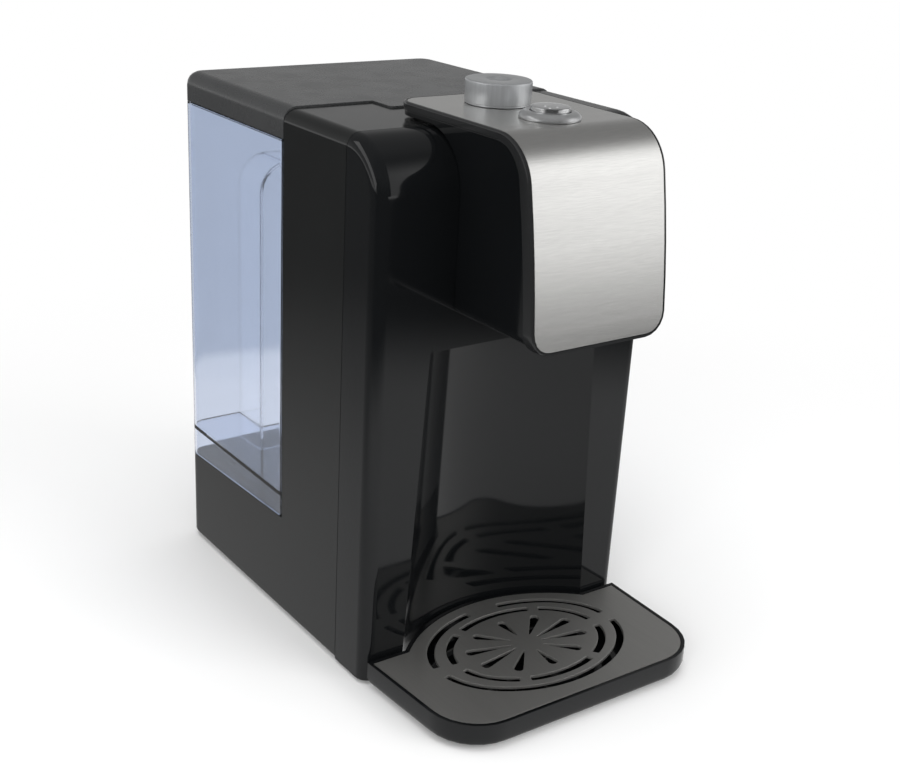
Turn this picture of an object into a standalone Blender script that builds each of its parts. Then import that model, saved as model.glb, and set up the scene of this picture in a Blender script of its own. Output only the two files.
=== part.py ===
"""Instant hot water dispenser.

A column carries a raised dispensing head, with a lift-out tank behind it and a drip tray in front.
Lengths are in metres. Inside the machine, x runs across it, y runs back from the front face of the column
and z runs up from the underside of the casing. The empty called machine carries all of it into the part's
own frame, whose origin is the bottom centre of the whole.
"""

import math

import bmesh
import bpy
from mathutils import Vector

# Gaps and cuts
FIT = 0.0003  # between pieces that touch
RUN = 0.0005  # round a piece that slides or turns
OVER = 0.004  # how far a cut runs past the face it opens

# Casing
WIDTH = 0.165
REAR_TAPER = 0.0064  # how much narrower the casing is at its back
BODY_DEPTH = 0.1983
SHOULDER_HEIGHT = 0.2700
WALL = 0.0025
EDGE_RADIUS = 0.007
REAR_CORNER = 0.0104
FOOTLINE_RADIUS = 0.0022
BAY_FRONT = 0.0846
DECK_FRONT_HEIGHT = 0.0556
DECK_REAR_HEIGHT = 0.0511
DECK_WALL = 0.005

# Front fascia and its cup alcove
FASCIA_DEPTH = 0.027
ALCOVE_DROP = 0.0137  # below the head
ALCOVE_TOP_HALF = 0.0508
ALCOVE_FOOT_HALF = 0.0595
ALCOVE_SETBACK = 0.064
WINDOW_HALF = 0.032
WINDOW_RISE = 0.0123  # above the head's lowest edge
WINDOW_BACK = 0.046

# Dispensing head
HEAD_HALF = 0.0396
HEAD_RISE = 0.0068  # above the shoulder
HEAD_BACK = 0.054
HEAD_HEIGHT = 0.0931
BEND_START = 0.0250
BEND_RADIUS = 0.024
FRONT_LEAN = math.radians(12)
HEAD_CORNER = 0.011
FRONT_RADIUS = 0.55
FRAME_DEPTH = 0.0037
FRAME_GROWTH = 0.0023  # how much deeper the frame is down the head's front than on its top
FRAME_EDGE = 0.0012
STEEL_INSET = 0.0016
STEEL_THICKNESS = 0.0008
SHELL_INSET = 0.0007
SHELL_RISE = 0.0038  # above the head's lowest edge
SHELL_EDGE = 0.004

# Selector knob
KNOB_Y = 0.0266
KNOB_RADIUS = 0.01575
KNOB_HEIGHT = 0.0102
KNOB_LIFT = 0.0011
KNOB_WALL = 0.0022
KNOB_EDGE = 0.0009
KNOB_DIMPLE_RADIUS = 0.0062
KNOB_DIMPLE_DEPTH = 0.0006
KNOB_BOSS_RADIUS = 0.0052
KNOB_ROOF = 0.0024
SPINDLE_RADIUS = 0.003
SPINDLE_GRIP = 0.0068
SELECTOR_HALF = 0.0085
SELECTOR_HEIGHT = 0.007
SELECTOR_COLLAR_RADIUS = 0.0046
SELECTOR_FLOOR = 0.002

# Push button
BUTTON_Y = -0.0120
BUTTON_TRAVEL = 0.0025
CAP_RADIUS = 0.0089
CAP_PROUD = 0.0056
CAP_HEIGHT = 0.0068
CAP_WALL = 0.0012
CAP_ROOF = 0.0014
CAP_EDGE = 0.0006
COLLAR_RADIUS = 0.0142
COLLAR_RISE = 0.0034
COLLAR_LIP = 0.0005
COLLAR_CREST = 0.0011
COLLAR_WALL = 0.001
COLLAR_NECK = 0.006
COLLAR_FLOOR = 0.0012
STEM_RADIUS = 0.003
BUTTON_SPRING_RADIUS = 0.0056
BUTTON_SPRING_WIRE = 0.0003
BUTTON_SPRING_TURNS = 4
SWITCH_HALF = 0.006
SWITCH_HEIGHT = 0.0076
SWITCH_ENTRY = 0.0003

# Control board under the head's top
BOARD_THICKNESS = 0.0016
BOARD_DROP = 0.0206  # below the head's top
BOARD_HALF = 0.028
BOARD_FRONT = -0.037
BOARD_BACK = 0.040
BOARD_POST_RADIUS = 0.003
BOARD_POST_X = 0.022
BOARD_POST_FRONT = -0.028
BOARD_POST_BACK = 0.010

# Spout in the head
SPOUT_Y = -0.020
SPOUT_RADIUS = 0.0062
SPOUT_BORE = 0.0035
SPOUT_DROP = 0.009
SPOUT_MOUTH_WALL = 0.001
SPOUT_FLANGE_RADIUS = 0.0095
SPOUT_FLANGE = 0.0015
CHAMBER_RADIUS = 0.012
CHAMBER_HEIGHT = 0.026
CHAMBER_WALL = 0.002
HOSE_PORT_RADIUS = 0.004
HOSE_PORT_BORE = 0.0022
HOSE_PORT_LENGTH = 0.005
HOSE_RADIUS = 0.004

# Tank
TANK_WALL = 0.0022
TANK_GAP = 0.0008
TANK_RIM_DROP = 0.0155  # below the shoulder
TANK_TOP_DROP = 0.0055  # below the shoulder
TANK_FLOOR_TOP = 0.069
TANK_NECK_INSET = 0.0026
TANK_NECK_WALL = 0.0018
TANK_FRONT_CORNER = 0.0021
GRIP_HALF = 0.0432
GRIP_DEPTH = 0.0262
GRIP_DROP = 0.0495  # below the shoulder
GRIP_CORNER = 0.014

# Tank lid
LID_HEIGHT = 0.015
LID_ROOF = 0.0025
LID_GAP = 0.0004
TAB_HALF = 0.0315
TAB_FRONT = 0.0685
TAB_DEPTH = 0.005
TAB_GAP = 0.0006
TAB_CORNER = 0.002

# Socket in the deck and outlet valve of the tank
SOCKET_Y = 0.125
SOCKET_SEAT_DROP = 0.0013
SOCKET_FLANGE_RADIUS = 0.020
SOCKET_FLANGE = 0.0016
SOCKET_RADIUS = 0.015
SOCKET_BORE = 0.012
SOCKET_LEDGE_BORE = 0.009
SOCKET_DEPTH = 0.022
SOCKET_FLOOR = 0.003
SOCKET_LEDGE_HEIGHT = 0.041
SOCKET_PIN_RADIUS = 0.002
SOCKET_PORT_HEIGHT = 0.0365
SOCKET_PORT_LENGTH = 0.009
SEAL_HEIGHT = 0.003
SPIGOT_RADIUS = 0.010
SPIGOT_BORE = 0.007
SPIGOT_FLANGE_RADIUS = 0.0135
SPIGOT_FLANGE = 0.0017
SEAT_RING_LOW = 0.047
SEAT_RING_TOP = 0.050
SEAT_RING_BORE = 0.004
WASHER_THICKNESS = 0.0015
WASHER_RADIUS = 0.0057
POPPET_HEAD = 0.002
POPPET_STEM_RADIUS = 0.002
POPPET_STEM_LOW = 0.046
POPPET_STEM_TOP = 0.0662
FILTER_LOW = 0.065
FILTER_RADIUS = 0.0095
FILTER_CAP = 0.0016
FILTER_STEM_BORE_TOP = 0.0712
FILTER_CROWN = 0.0035
VALVE_SPRING_RADIUS = 0.0046
VALVE_SPRING_WIRE = 0.0004
VALVE_SPRING_TURNS = 5

# Drip tray and its plate
TRAY_REACH = 0.0777
TRAY_HEIGHT = 0.0126
TRAY_SIDE_INSET = 0.0017  # from the casing's side face
TRAY_TAPER = 0.0034
TRAY_CORNER = 0.027
TRAY_GAP = 0.0015
TRAY_CLEAR = 0.0015
TRAY_RIM = 0.0018
TRAY_LEDGE = 0.004
TRAY_FLOOR = 0.003
TRAY_EDGE = 0.004
STOP_HALF = 0.008
STOP_HEIGHT = 0.004
PLATE_THICKNESS = 0.0015
PLATE_GAP = 0.0004
RING_Y = -0.0269
OUTER_RING_HALF = 0.0541
OUTER_RING_DEPTH = 0.0382
INNER_RING_HALF = 0.0435
INNER_RING_DEPTH = 0.0306
RING_SLOT_WIDTH = 0.0038
DROP_RING_HALF = 0.0352
DROP_RING_DEPTH = 0.0232
DROP_START = 0.0085
DROP_WIDTH = 0.0048
DROP_COUNT = 10
# First and last bearing of each slot in degrees round the oval rings, and the straight bits that draw it
OUTER_RING_SLOTS = ((187, 353, 12), (6, 80, 7), (100, 174, 7))
INNER_RING_SLOTS = ((189, 236, 4), (244, 296, 4), (304, 351, 4), (4, 52, 4), (60, 120, 5), (128, 176, 4))

# Water circuit
PUMP_OFFSET = 0.035  # behind the tank's socket
PUMP_HEIGHT = 0.021
PUMP_JOINT_X = -0.012
MOTOR_RADIUS = 0.0135
MOTOR_LENGTH = 0.034
MOTOR_BOSS_RADIUS = 0.005
MOTOR_BOSS = 0.003
PUMP_RADIUS = 0.016
PUMP_LENGTH = 0.016
PUMP_PORT_LENGTH = 0.005
CRADLE_HALF = 0.011
CRADLE_BACK_HALF = 0.010
CRADLE_HEIGHT = 0.012
HEATER_Y = 0.060
HEATER_RADIUS = 0.019
HEATER_LOW = 0.092
HEATER_DROP = 0.062  # below the shoulder
HEATER_SHOULDER = 0.004
CLAMP_WALL = 0.0014
CLAMP_HEIGHT = 0.008
CLAMP_LOW_RISE = 0.023  # above the heater's foot
CLAMP_HIGH_DROP = 0.028  # below the heater's top
BRACKET_PLATE = 0.0015
BRACKET_HALF = 0.016
BRACKET_MARGIN = 0.010
THERMOSTAT_RADIUS = 0.008
THERMOSTAT_DEPTH = 0.006
THERMOSTAT_RISE = 0.058  # above the heater's foot
THERMOSTAT_CAN_RADIUS = 0.0065
THERMOSTAT_CAN = 0.003
FUSE_RADIUS = 0.0016
FUSE_LENGTH = 0.014

INLET_HOSE_PULL = 0.028
PUMP_HOSE_PULL = 0.060
HEATER_HOSE_PULL = 0.045
OUTLET_HOSE_PULL = 0.026

# Power electronics on the side wall
POWER_BOARD_STANDOFF = 0.0093  # from the casing's side face
POWER_BOARD_FRONT = 0.036
POWER_BOARD_BACK = 0.080
POWER_BOARD_LOW = 0.070
POWER_BOARD_TOP = 0.190
POWER_POST_RADIUS = 0.0035
POWER_POST_MARGIN = 0.008
RELAY_FRONT = 0.048
RELAY_BACK = 0.068
RELAY_LOW = 0.085
RELAY_TOP = 0.105
RELAY_DEPTH = 0.0155
TRANSFORMER_FRONT = 0.044
TRANSFORMER_BACK = 0.072
TRANSFORMER_LOW = 0.135
TRANSFORMER_TOP = 0.165
TRANSFORMER_DEPTH = 0.020
BLOCK_EDGE = 0.001

# Feet and mains inlet gland
FOOT_HEIGHT = 0.002
FOOT_RADIUS = 0.007
FOOT_PEG_RADIUS = 0.0025
FOOT_PEG = 0.002
FOOT_FRONT_INSET = 0.0165  # from the casing's side face
FOOT_FRONT_Y = 0.040
FOOT_REAR_INSET = 0.0173
FOOT_REAR_MARGIN = 0.0203  # from the casing's back face
TRAY_FOOT_INSET = 0.0254  # from the tray's side at its front
TRAY_FOOT_Y = -0.058
GLAND_INSET = 0.0273
GLAND_HEIGHT = 0.022
GLAND_FLANGE_RADIUS = 0.009
GLAND_FLANGE = 0.0022
GLAND_NECK_RADIUS = 0.0065
GLAND_INSIDE = 0.006
GLAND_BORE = 0.0036

# Counts
ARC_STEPS = 5
ROLL_STEPS = 10
FRONT_STEPS = 4
FRAME_EDGE_STEPS = 2
ROUND_STEPS = 32
SMALL_ROUND_STEPS = 20
TINY_ROUND_STEPS = 12
ALCOVE_STEPS = 18
SPRING_STEPS = 8
HOSE_STEPS = 12
SHARP_ANGLE = math.radians(30)

# Places shared by several pieces
REAR_WIDTH = WIDTH - REAR_TAPER
HEAD_TOP = SHOULDER_HEIGHT + HEAD_RISE
HEAD_LOW = HEAD_TOP - HEAD_HEIGHT
SHELL_LOW = HEAD_LOW + SHELL_RISE
WINDOW_LOW = HEAD_LOW + WINDOW_RISE
ALCOVE_HEIGHT = HEAD_LOW - ALCOVE_DROP
BOARD_UNDER = HEAD_TOP - BOARD_DROP
TANK_RIM = SHOULDER_HEIGHT - TANK_RIM_DROP
TANK_TOP = SHOULDER_HEIGHT - TANK_TOP_DROP
GRIP_TOP = SHOULDER_HEIGHT - GRIP_DROP
LID_LOW = SHOULDER_HEIGHT - LID_HEIGHT
HEATER_TOP = SHOULDER_HEIGHT - HEATER_DROP
CLAMP_LOW_HEIGHT = HEATER_LOW + CLAMP_LOW_RISE
CLAMP_HIGH_HEIGHT = HEATER_TOP - CLAMP_HIGH_DROP
THERMOSTAT_HEIGHT = HEATER_LOW + THERMOSTAT_RISE
POWER_BOARD_X = POWER_BOARD_STANDOFF - WIDTH / 2
FOOT_FRONT_X = WIDTH / 2 - FOOT_FRONT_INSET
FOOT_REAR_X = REAR_WIDTH / 2 - FOOT_REAR_INSET
FOOT_REAR_Y = BODY_DEPTH - FOOT_REAR_MARGIN
GLAND_X = REAR_WIDTH / 2 - GLAND_INSET
PUMP_Y = SOCKET_Y + PUMP_OFFSET
TRAY_BACK_HALF = WIDTH / 2 - TRAY_SIDE_INSET
TRAY_FRONT_HALF = TRAY_BACK_HALF - TRAY_TAPER
TRAY_FOOT_X = TRAY_FRONT_HALF - TRAY_FOOT_INSET
SHELL_BACK = HEAD_BACK - SHELL_INSET
FRAME_UNDER = HEAD_TOP - FRAME_DEPTH
BOARD_TOP = BOARD_UNDER + BOARD_THICKNESS
SPINDLE_TOP = HEAD_TOP + KNOB_LIFT + SPINDLE_GRIP
SHELL_FLOOR_TOP = SHELL_LOW + WALL
CHAMBER_LOW = SHELL_FLOOR_TOP + FIT + SPOUT_FLANGE + FIT
CHAMBER_PORT_TOP = CHAMBER_LOW + CHAMBER_HEIGHT + HOSE_PORT_LENGTH
HOUSING_FRONT = FASCIA_DEPTH + FIT
BAY_INSIDE = BAY_FRONT - WALL
PLATE_UNDER = TRAY_HEIGHT - PLATE_THICKNESS
LEDGE_TOP = PLATE_UNDER - FIT
CAP_TOP = HEAD_TOP + CAP_PROUD
COLLAR_FLOOR_TOP = HEAD_TOP - COLLAR_NECK
SWITCH_TOP = BOARD_TOP + FIT + SWITCH_HEIGHT
WASHER_LOW = SEAT_RING_TOP + FIT
POPPET_LOW = WASHER_LOW + WASHER_THICKNESS + FIT
SPIGOT_LOW = SOCKET_LEDGE_HEIGHT + FIT + SEAL_HEIGHT + FIT
SPIGOT_TOP = TANK_FLOOR_TOP + FIT + SPIGOT_FLANGE
REACH_BACK = BODY_DEPTH + FIT + GLAND_FLANGE

ORIGIN = Vector((0.0, 0.0, 0.0))
places = {}


def side_at(y):
    """Half the casing's width, which narrows evenly towards the back."""
    return (WIDTH - (WIDTH - REAR_WIDTH) * y / BODY_DEPTH) / 2


def deck_at(y):
    """Height of the deck under the tank, which falls a little towards the back."""
    share = (y - BAY_FRONT) / (BODY_DEPTH - BAY_FRONT)
    return DECK_FRONT_HEIGHT + (DECK_REAR_HEIGHT - DECK_FRONT_HEIGHT) * share


def alcove_radius(z):
    """Radius of the alcove's round wall, which opens out evenly towards its foot."""
    foot = math.hypot(ALCOVE_FOOT_HALF, ALCOVE_SETBACK)
    top = math.hypot(ALCOVE_TOP_HALF, ALCOVE_SETBACK)
    return foot + (top - foot) * z / ALCOVE_HEIGHT


# Scene and materials


def clear_scene():
    for obj in list(bpy.data.objects):
        bpy.data.objects.remove(obj, do_unlink=True)


def carrier(name, place, parent=None):
    """An empty that carries one moving body, at a place given in the machine's own lengths."""
    empty = bpy.data.objects.new(name, None)
    empty.empty_display_size = FOOT_RADIUS
    bpy.context.scene.collection.objects.link(empty)
    empty.location = place - (places[parent.name] if parent else ORIGIN)
    empty.parent = parent
    places[name] = place
    return empty


def finish(name, colour, roughness, metallic=0.0, alpha=1.0):
    material = bpy.data.materials.get(name) or bpy.data.materials.new(name)
    material.use_nodes = True
    shader = material.node_tree.nodes["Principled BSDF"]
    shader.inputs["Base Color"].default_value = (*colour, 1.0)
    shader.inputs["Roughness"].default_value = roughness
    shader.inputs["Metallic"].default_value = metallic
    shader.inputs["Alpha"].default_value = alpha
    return material


def casing_plastic():
    return finish("casing_plastic", (0.045, 0.045, 0.048), 0.38)


def fascia_plastic():
    return finish("fascia_plastic", (0.012, 0.012, 0.014), 0.10)


def lid_plastic():
    return finish("lid_plastic", (0.10, 0.10, 0.105), 0.42)


def tank_plastic():
    return finish("tank_plastic", (0.60, 0.68, 0.88), 0.06, alpha=0.35)


def brushed_steel():
    return finish("brushed_steel", (0.62, 0.61, 0.59), 0.32, metallic=1.0)


def silver_plastic():
    return finish("silver_plastic", (0.55, 0.56, 0.57), 0.30, metallic=0.8)


def bright_metal():
    return finish("bright_metal", (0.70, 0.70, 0.70), 0.15, metallic=1.0)


def plate_metal():
    return finish("plate_metal", (0.30, 0.29, 0.28), 0.35, metallic=0.9)


def rubber():
    return finish("rubber", (0.03, 0.03, 0.03), 0.85)


def silicone():
    return finish("silicone", (0.75, 0.75, 0.72), 0.5)


def white_plastic():
    return finish("white_plastic", (0.78, 0.78, 0.75), 0.5)


def heater_metal():
    return finish("heater_metal", (0.66, 0.67, 0.68), 0.4, metallic=1.0)


def circuit_board():
    return finish("circuit_board", (0.02, 0.18, 0.07), 0.5)


def dark_component():
    return finish("dark_component", (0.02, 0.02, 0.022), 0.45)


def spring_steel():
    return finish("spring_steel", (0.55, 0.55, 0.56), 0.28, metallic=1.0)


# Building blocks


def add(name, form, material, parent, at=ORIGIN):
    """Turns a bmesh in the machine's own lengths into an object that its carrier moves."""
    bmesh.ops.recalc_face_normals(form, faces=form.faces)
    mesh = bpy.data.meshes.new(name)
    form.to_mesh(mesh)
    form.free()
    if material:
        mesh.materials.append(material)
    mesh.shade_smooth()
    mesh.set_sharp_from_angle(angle=SHARP_ANGLE)
    obj = bpy.data.objects.new(name, mesh)
    bpy.context.scene.collection.objects.link(obj)
    obj.parent = parent
    obj.location = at - places[parent.name]
    return obj


def tool(name, form, parent, at=ORIGIN):
    """A helper that cuts or joins and isn't a piece of the product."""
    obj = add(name, form, None, parent, at)
    obj.hide_render = True
    obj.display_type = "WIRE"
    return obj


def combine(target, operation, helpers, solver):
    for helper in helpers:
        modifier = target.modifiers.new(helper.name, "BOOLEAN")
        modifier.operation = operation
        modifier.solver = solver
        modifier.object = helper


def cut(target, *helpers, solver="EXACT"):
    combine(target, "DIFFERENCE", helpers, solver)


def join(target, *helpers, solver="EXACT"):
    combine(target, "UNION", helpers, solver)


def rounded(corners, steps=ARC_STEPS):
    """Points of a closed outline from corners (a, b, radius), each turned through an arc."""
    points = []
    count = len(corners)
    for index, (a, b, radius) in enumerate(corners):
        here = Vector((a, b))
        if not radius:
            points.append(here)
            continue
        before = (Vector(corners[index - 1][:2]) - here).normalized()
        after = (Vector(corners[(index + 1) % count][:2]) - here).normalized()
        half = before.angle(after) / 2
        centre = here + (before + after).normalized() * radius / math.sin(half)
        start = here + before * radius / math.tan(half) - centre
        sweep = start.angle_signed(here + after * radius / math.tan(half) - centre)
        for step in range(steps + 1):
            turn = -sweep * step / steps
            turned_x = start.x * math.cos(turn) - start.y * math.sin(turn)
            turned_y = start.x * math.sin(turn) + start.y * math.cos(turn)
            points.append(centre + Vector((turned_x, turned_y)))
    return points


def prism(outline, low, high, axis="Z"):
    """An outline drawn out along one axis. Its two coordinates are the other two axes in order."""
    order = {"X": (2, 0, 1), "Y": (0, 2, 1), "Z": (0, 1, 2)}[axis]
    form = bmesh.new()
    ends = []
    for level in (low, high):
        ring = []
        for a, b in outline:
            values = (a, b, level)
            ring.append(form.verts.new([values[i] for i in order]))
        ends.append(ring)
    form.faces.new(ends[0])
    form.faces.new(ends[1])
    bridge(form, ends[0], ends[1])
    return form


def bridge(form, first, second):
    """Side faces between two closed rings of the same number of points."""
    for index in range(len(first)):
        form.faces.new((first[index - 1], first[index], second[index], second[index - 1]))


def block(low, high, radius=0.0):
    """A box between two corners, with its upright edges rounded where a radius is given."""
    corners = [(low[0], low[1]), (high[0], low[1]), (high[0], high[1]), (low[0], high[1])]
    return prism(rounded([(*corner, radius) for corner in corners], ARC_STEPS // 2), low[2], high[2])


def flanked(profile, inset=0.0):
    """A side profile (y, z) drawn out to the casing's two tapering sides, or inset from them."""
    form = bmesh.new()
    rings = []
    for sign in (-1, 1):
        ring = [form.verts.new((sign * (side_at(y) - inset), y, z)) for y, z in profile]
        rings.append(ring)
        form.faces.new(ring)
    bridge(form, rings[0], rings[1])
    return form


def side_edge(axis, value):
    """A test for the edges of one side of the casing that lie at a value of y (axis 1) or z (axis 2)."""
    return lambda a, b: close_to(a[axis], value) and close_to(b[axis], value) and a.x * b.x > 0


def round_off(form, chosen, radius, steps=ARC_STEPS):
    """Rounds the edges whose two ends pass the test."""
    bmesh.ops.recalc_face_normals(form, faces=form.faces)
    edges = [edge for edge in form.edges if chosen(edge.verts[0].co, edge.verts[1].co)]
    bmesh.ops.bevel(form, geom=edges, offset=radius, segments=steps, profile=0.5, affect="EDGES")


def close_to(a, b):
    return abs(a - b) < FIT / 10


def turned(profile, steps=ROUND_STEPS, axis="Z"):
    """A profile (radius, height) turned about an axis through the object's origin."""
    form = bmesh.new()
    rings = []
    for radius, height in profile:
        count = steps if radius > 0 else 1
        ring = []
        for step in range(count):
            turn = math.tau * step / steps
            a, b = radius * math.cos(turn), radius * math.sin(turn)
            place = {"Z": (a, b, height), "Y": (a, height, b), "X": (height, a, b)}[axis]
            ring.append(form.verts.new(place))
        rings.append(ring)
    closed = profile[0][0] > 0
    for index in range(0 if closed else 1, len(rings)):
        lathe_band(form, rings[index - 1], rings[index], steps)
    return form


def lathe_band(form, first, second, steps):
    if len(first) == len(second) == 1:
        return
    for step in range(steps):
        following = (step + 1) % steps
        corners = [first[step % len(first)], first[following % len(first)]]
        corners += [second[following % len(second)], second[step % len(second)]]
        unique = list(dict.fromkeys(corners))
        form.faces.new(unique)


def rod(radius, low, high, steps=SMALL_ROUND_STEPS, axis="Z"):
    return turned([(0, low), (radius, low), (radius, high), (0, high)], steps, axis)


def pipe(name, radius, material, parent, sides):
    """A round tube or wire with closed ends, still without its route."""
    curve = bpy.data.curves.new(name, "CURVE")
    curve.dimensions = "3D"
    curve.bevel_depth = radius
    curve.bevel_resolution = sides
    curve.use_fill_caps = True
    curve.materials.append(material)
    obj = bpy.data.objects.new(name, curve)
    bpy.context.scene.collection.objects.link(obj)
    obj.parent = parent
    obj.location = ORIGIN - places[parent.name]
    return curve


def hose(name, start, start_pull, end, end_pull, material, parent):
    """A hose that leaves one port and arrives at another, pulled along each port's direction."""
    curve = pipe(name, HOSE_RADIUS, material, parent, 2)
    spline = curve.splines.new("BEZIER")
    spline.bezier_points.add(1)
    spline.resolution_u = HOSE_STEPS
    for point, place, pull in zip(spline.bezier_points, (start, end), (start_pull, end_pull)):
        point.co = place
        point.handle_left = place - pull
        point.handle_right = place + pull


def coil(name, x, y, low, high, radius, wire, turns, material, parent):
    """A compression spring that stands upright between two heights."""
    route = []
    count = turns * SPRING_STEPS
    climb = (high - low - wire * 2) / count
    for step in range(count + 1):
        turn = math.tau * step / SPRING_STEPS
        height = low + wire + climb * step
        route.append(Vector((x + radius * math.cos(turn), y + radius * math.sin(turn), height)))
    spline = pipe(name, wire, material, parent, 1).splines.new("POLY")
    spline.points.add(count)
    for point, place in zip(spline.points, route):
        point.co = (*place, 1.0)


# Alcove and column shapes that several pieces share


def alcove_form(extra, low, high, front):
    """The alcove's space, its wall moved out by extra, from y = front back to the round wall."""
    form = bmesh.new()
    rings = []
    for z in (low, high):
        radius = alcove_radius(z) + extra
        half_angle = math.acos((ALCOVE_SETBACK + front) / radius)
        ring = []
        for step in range(ALCOVE_STEPS + 1):
            turn = half_angle * (1 - 2 * step / ALCOVE_STEPS)
            place = (radius * math.sin(turn), radius * math.cos(turn) - ALCOVE_SETBACK, z)
            ring.append(form.verts.new(place))
        rings.append(ring)
        form.faces.new(ring)
    bridge(form, rings[0], rings[1])
    return form


def roll_points(offset):
    """The curve from the column's front face to its top, moved out by an offset."""
    radius = FASCIA_DEPTH + offset
    points = []
    for step in range(ROLL_STEPS + 1):
        turn = math.pi / 2 * step / ROLL_STEPS
        y = FASCIA_DEPTH - radius * math.cos(turn)
        z = SHOULDER_HEIGHT - FASCIA_DEPTH + radius * math.sin(turn)
        points.append((y, z))
    return points


def fascia_block(inset):
    """The fascia's outline as a solid, or its inside when inset by the wall."""
    back = FASCIA_DEPTH + (OVER if inset else 0)
    profile = [(inset, inset), *roll_points(-inset), (back, SHOULDER_HEIGHT - inset), (back, inset)]
    if not inset:
        profile.remove((back, SHOULDER_HEIGHT - inset))
    form = flanked(profile, inset)
    radius = EDGE_RADIUS - inset

    def outer_edge(a, b):
        along_side = a.x * b.x > 0
        return along_side and min(a.z, b.z) >= inset and not close_to(max(a.z, b.z), inset) and on_front(a, b)

    def on_front(a, b):
        return max(a.y, b.y) <= FASCIA_DEPTH + FIT / 10 and not (
            close_to(a.y, b.y) and close_to(a.y, back)
        )

    round_off(form, outer_edge, radius)
    return form


def build_fascia(root, material):
    fascia = add("fascia", fascia_block(0.0), material, root)
    wall = tool("alcove_wall", alcove_form(WALL, WALL / 2, ALCOVE_HEIGHT + WALL, WALL / 2), root)
    inside = tool("fascia_inside", fascia_block(WALL), root)
    cut(inside, wall)
    alcove = tool("alcove", alcove_form(0.0, -OVER, ALCOVE_HEIGHT, -OVER), root)
    window_low = (-WINDOW_HALF, -OVER, WINDOW_LOW)
    window_high = (WINDOW_HALF, FASCIA_DEPTH + OVER, SHOULDER_HEIGHT + OVER)
    window = tool("head_window", block(window_low, window_high), root)
    stop_back = alcove_radius(STOP_HEIGHT) - ALCOVE_SETBACK + WALL / 2
    stop_front = alcove_radius(TRAY_HEIGHT) - ALCOVE_SETBACK - TRAY_CLEAR + FIT
    stop_low = (-STOP_HALF, stop_front, STOP_HEIGHT)
    stop_high = (STOP_HALF, stop_back, TRAY_HEIGHT - STOP_HEIGHT)
    join(fascia, wall)
    cut(fascia, inside, alcove, window)
    join(fascia, tool("tray_stop", block(stop_low, stop_high), root))


def housing_form(inset, deck_inset, over):
    """The rear casing: a column behind the fascia and the long base under the tank."""
    front = HOUSING_FRONT - over
    back = BODY_DEPTH - inset
    bay = BAY_FRONT - inset
    top = SHOULDER_HEIGHT - inset
    profile = [
        (front, -over),
        (back, -over),
        (back, deck_at(BODY_DEPTH) - deck_inset),
        (bay, deck_at(BAY_FRONT) - deck_inset),
        (bay, top),
        (front, top),
    ]
    form = flanked(profile, inset)
    round_off(form, side_edge(1, back), REAR_CORNER - inset)
    round_off(form, side_edge(2, top), EDGE_RADIUS - inset)
    return form


def build_housing(root, material):
    form = housing_form(0.0, 0.0, 0.0)
    base = HOUSING_FRONT + FIT

    def foot_line(a, b):
        return close_to(a.z, 0) and close_to(b.z, 0) and max(a.y, b.y) > base

    round_off(form, foot_line, FOOTLINE_RADIUS, 2)
    housing = add("housing", form, material, root)
    inside = tool("housing_inside", housing_form(WALL, DECK_WALL, OVER), root)
    pocket_half = TAB_HALF + TAB_GAP
    pocket_front = TAB_FRONT - TAB_GAP
    pocket_floor = SHOULDER_HEIGHT - TAB_DEPTH - TAB_GAP
    keep_low = (-pocket_half - WALL, pocket_front - WALL, pocket_floor - WALL)
    keep_high = (pocket_half + WALL, BAY_FRONT, SHOULDER_HEIGHT + OVER)
    cut(inside, tool("pocket_wall", block(keep_low, keep_high), root))
    pocket_low = (-pocket_half, pocket_front, pocket_floor)
    pocket_high = (pocket_half, BAY_FRONT + OVER, SHOULDER_HEIGHT + OVER)
    notch_low = (-WINDOW_HALF, HOUSING_FRONT - OVER, WINDOW_LOW)
    notch_high = (WINDOW_HALF, WINDOW_BACK, SHOULDER_HEIGHT + OVER)
    seat = socket_seat()
    counterbore = rod(SOCKET_FLANGE_RADIUS + RUN, seat, DECK_FRONT_HEIGHT + OVER)
    socket_hole = rod(SOCKET_RADIUS + RUN, seat - DECK_WALL - OVER, seat + OVER)
    gland_hole = rod(GLAND_NECK_RADIUS + FIT, -WALL - OVER, OVER, axis="Y")
    cut(
        housing,
        inside,
        tool("lid_tab_pocket", block(pocket_low, pocket_high), root),
        tool("head_notch", block(notch_low, notch_high), root),
        tool("socket_counterbore", counterbore, root, socket_place()),
        tool("socket_hole", socket_hole, root, socket_place()),
        tool("gland_hole", gland_hole, root, gland_place()),
        solver="MANIFOLD",
    )
    for name, y, z in power_posts():
        post = rod(POWER_POST_RADIUS, WALL / 2 - side_at(y), POWER_BOARD_X - FIT, TINY_ROUND_STEPS, "X")
        join(housing, tool(name, post, root, Vector((0, y, z))), solver="MANIFOLD")


def power_posts():
    posts = []
    for y in (POWER_BOARD_FRONT + POWER_POST_MARGIN, POWER_BOARD_BACK - POWER_POST_MARGIN):
        for z in (POWER_BOARD_LOW + POWER_POST_MARGIN, POWER_BOARD_TOP - POWER_POST_MARGIN):
            posts.append((f"power_post_{len(posts)}", y, z))
    return posts


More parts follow.
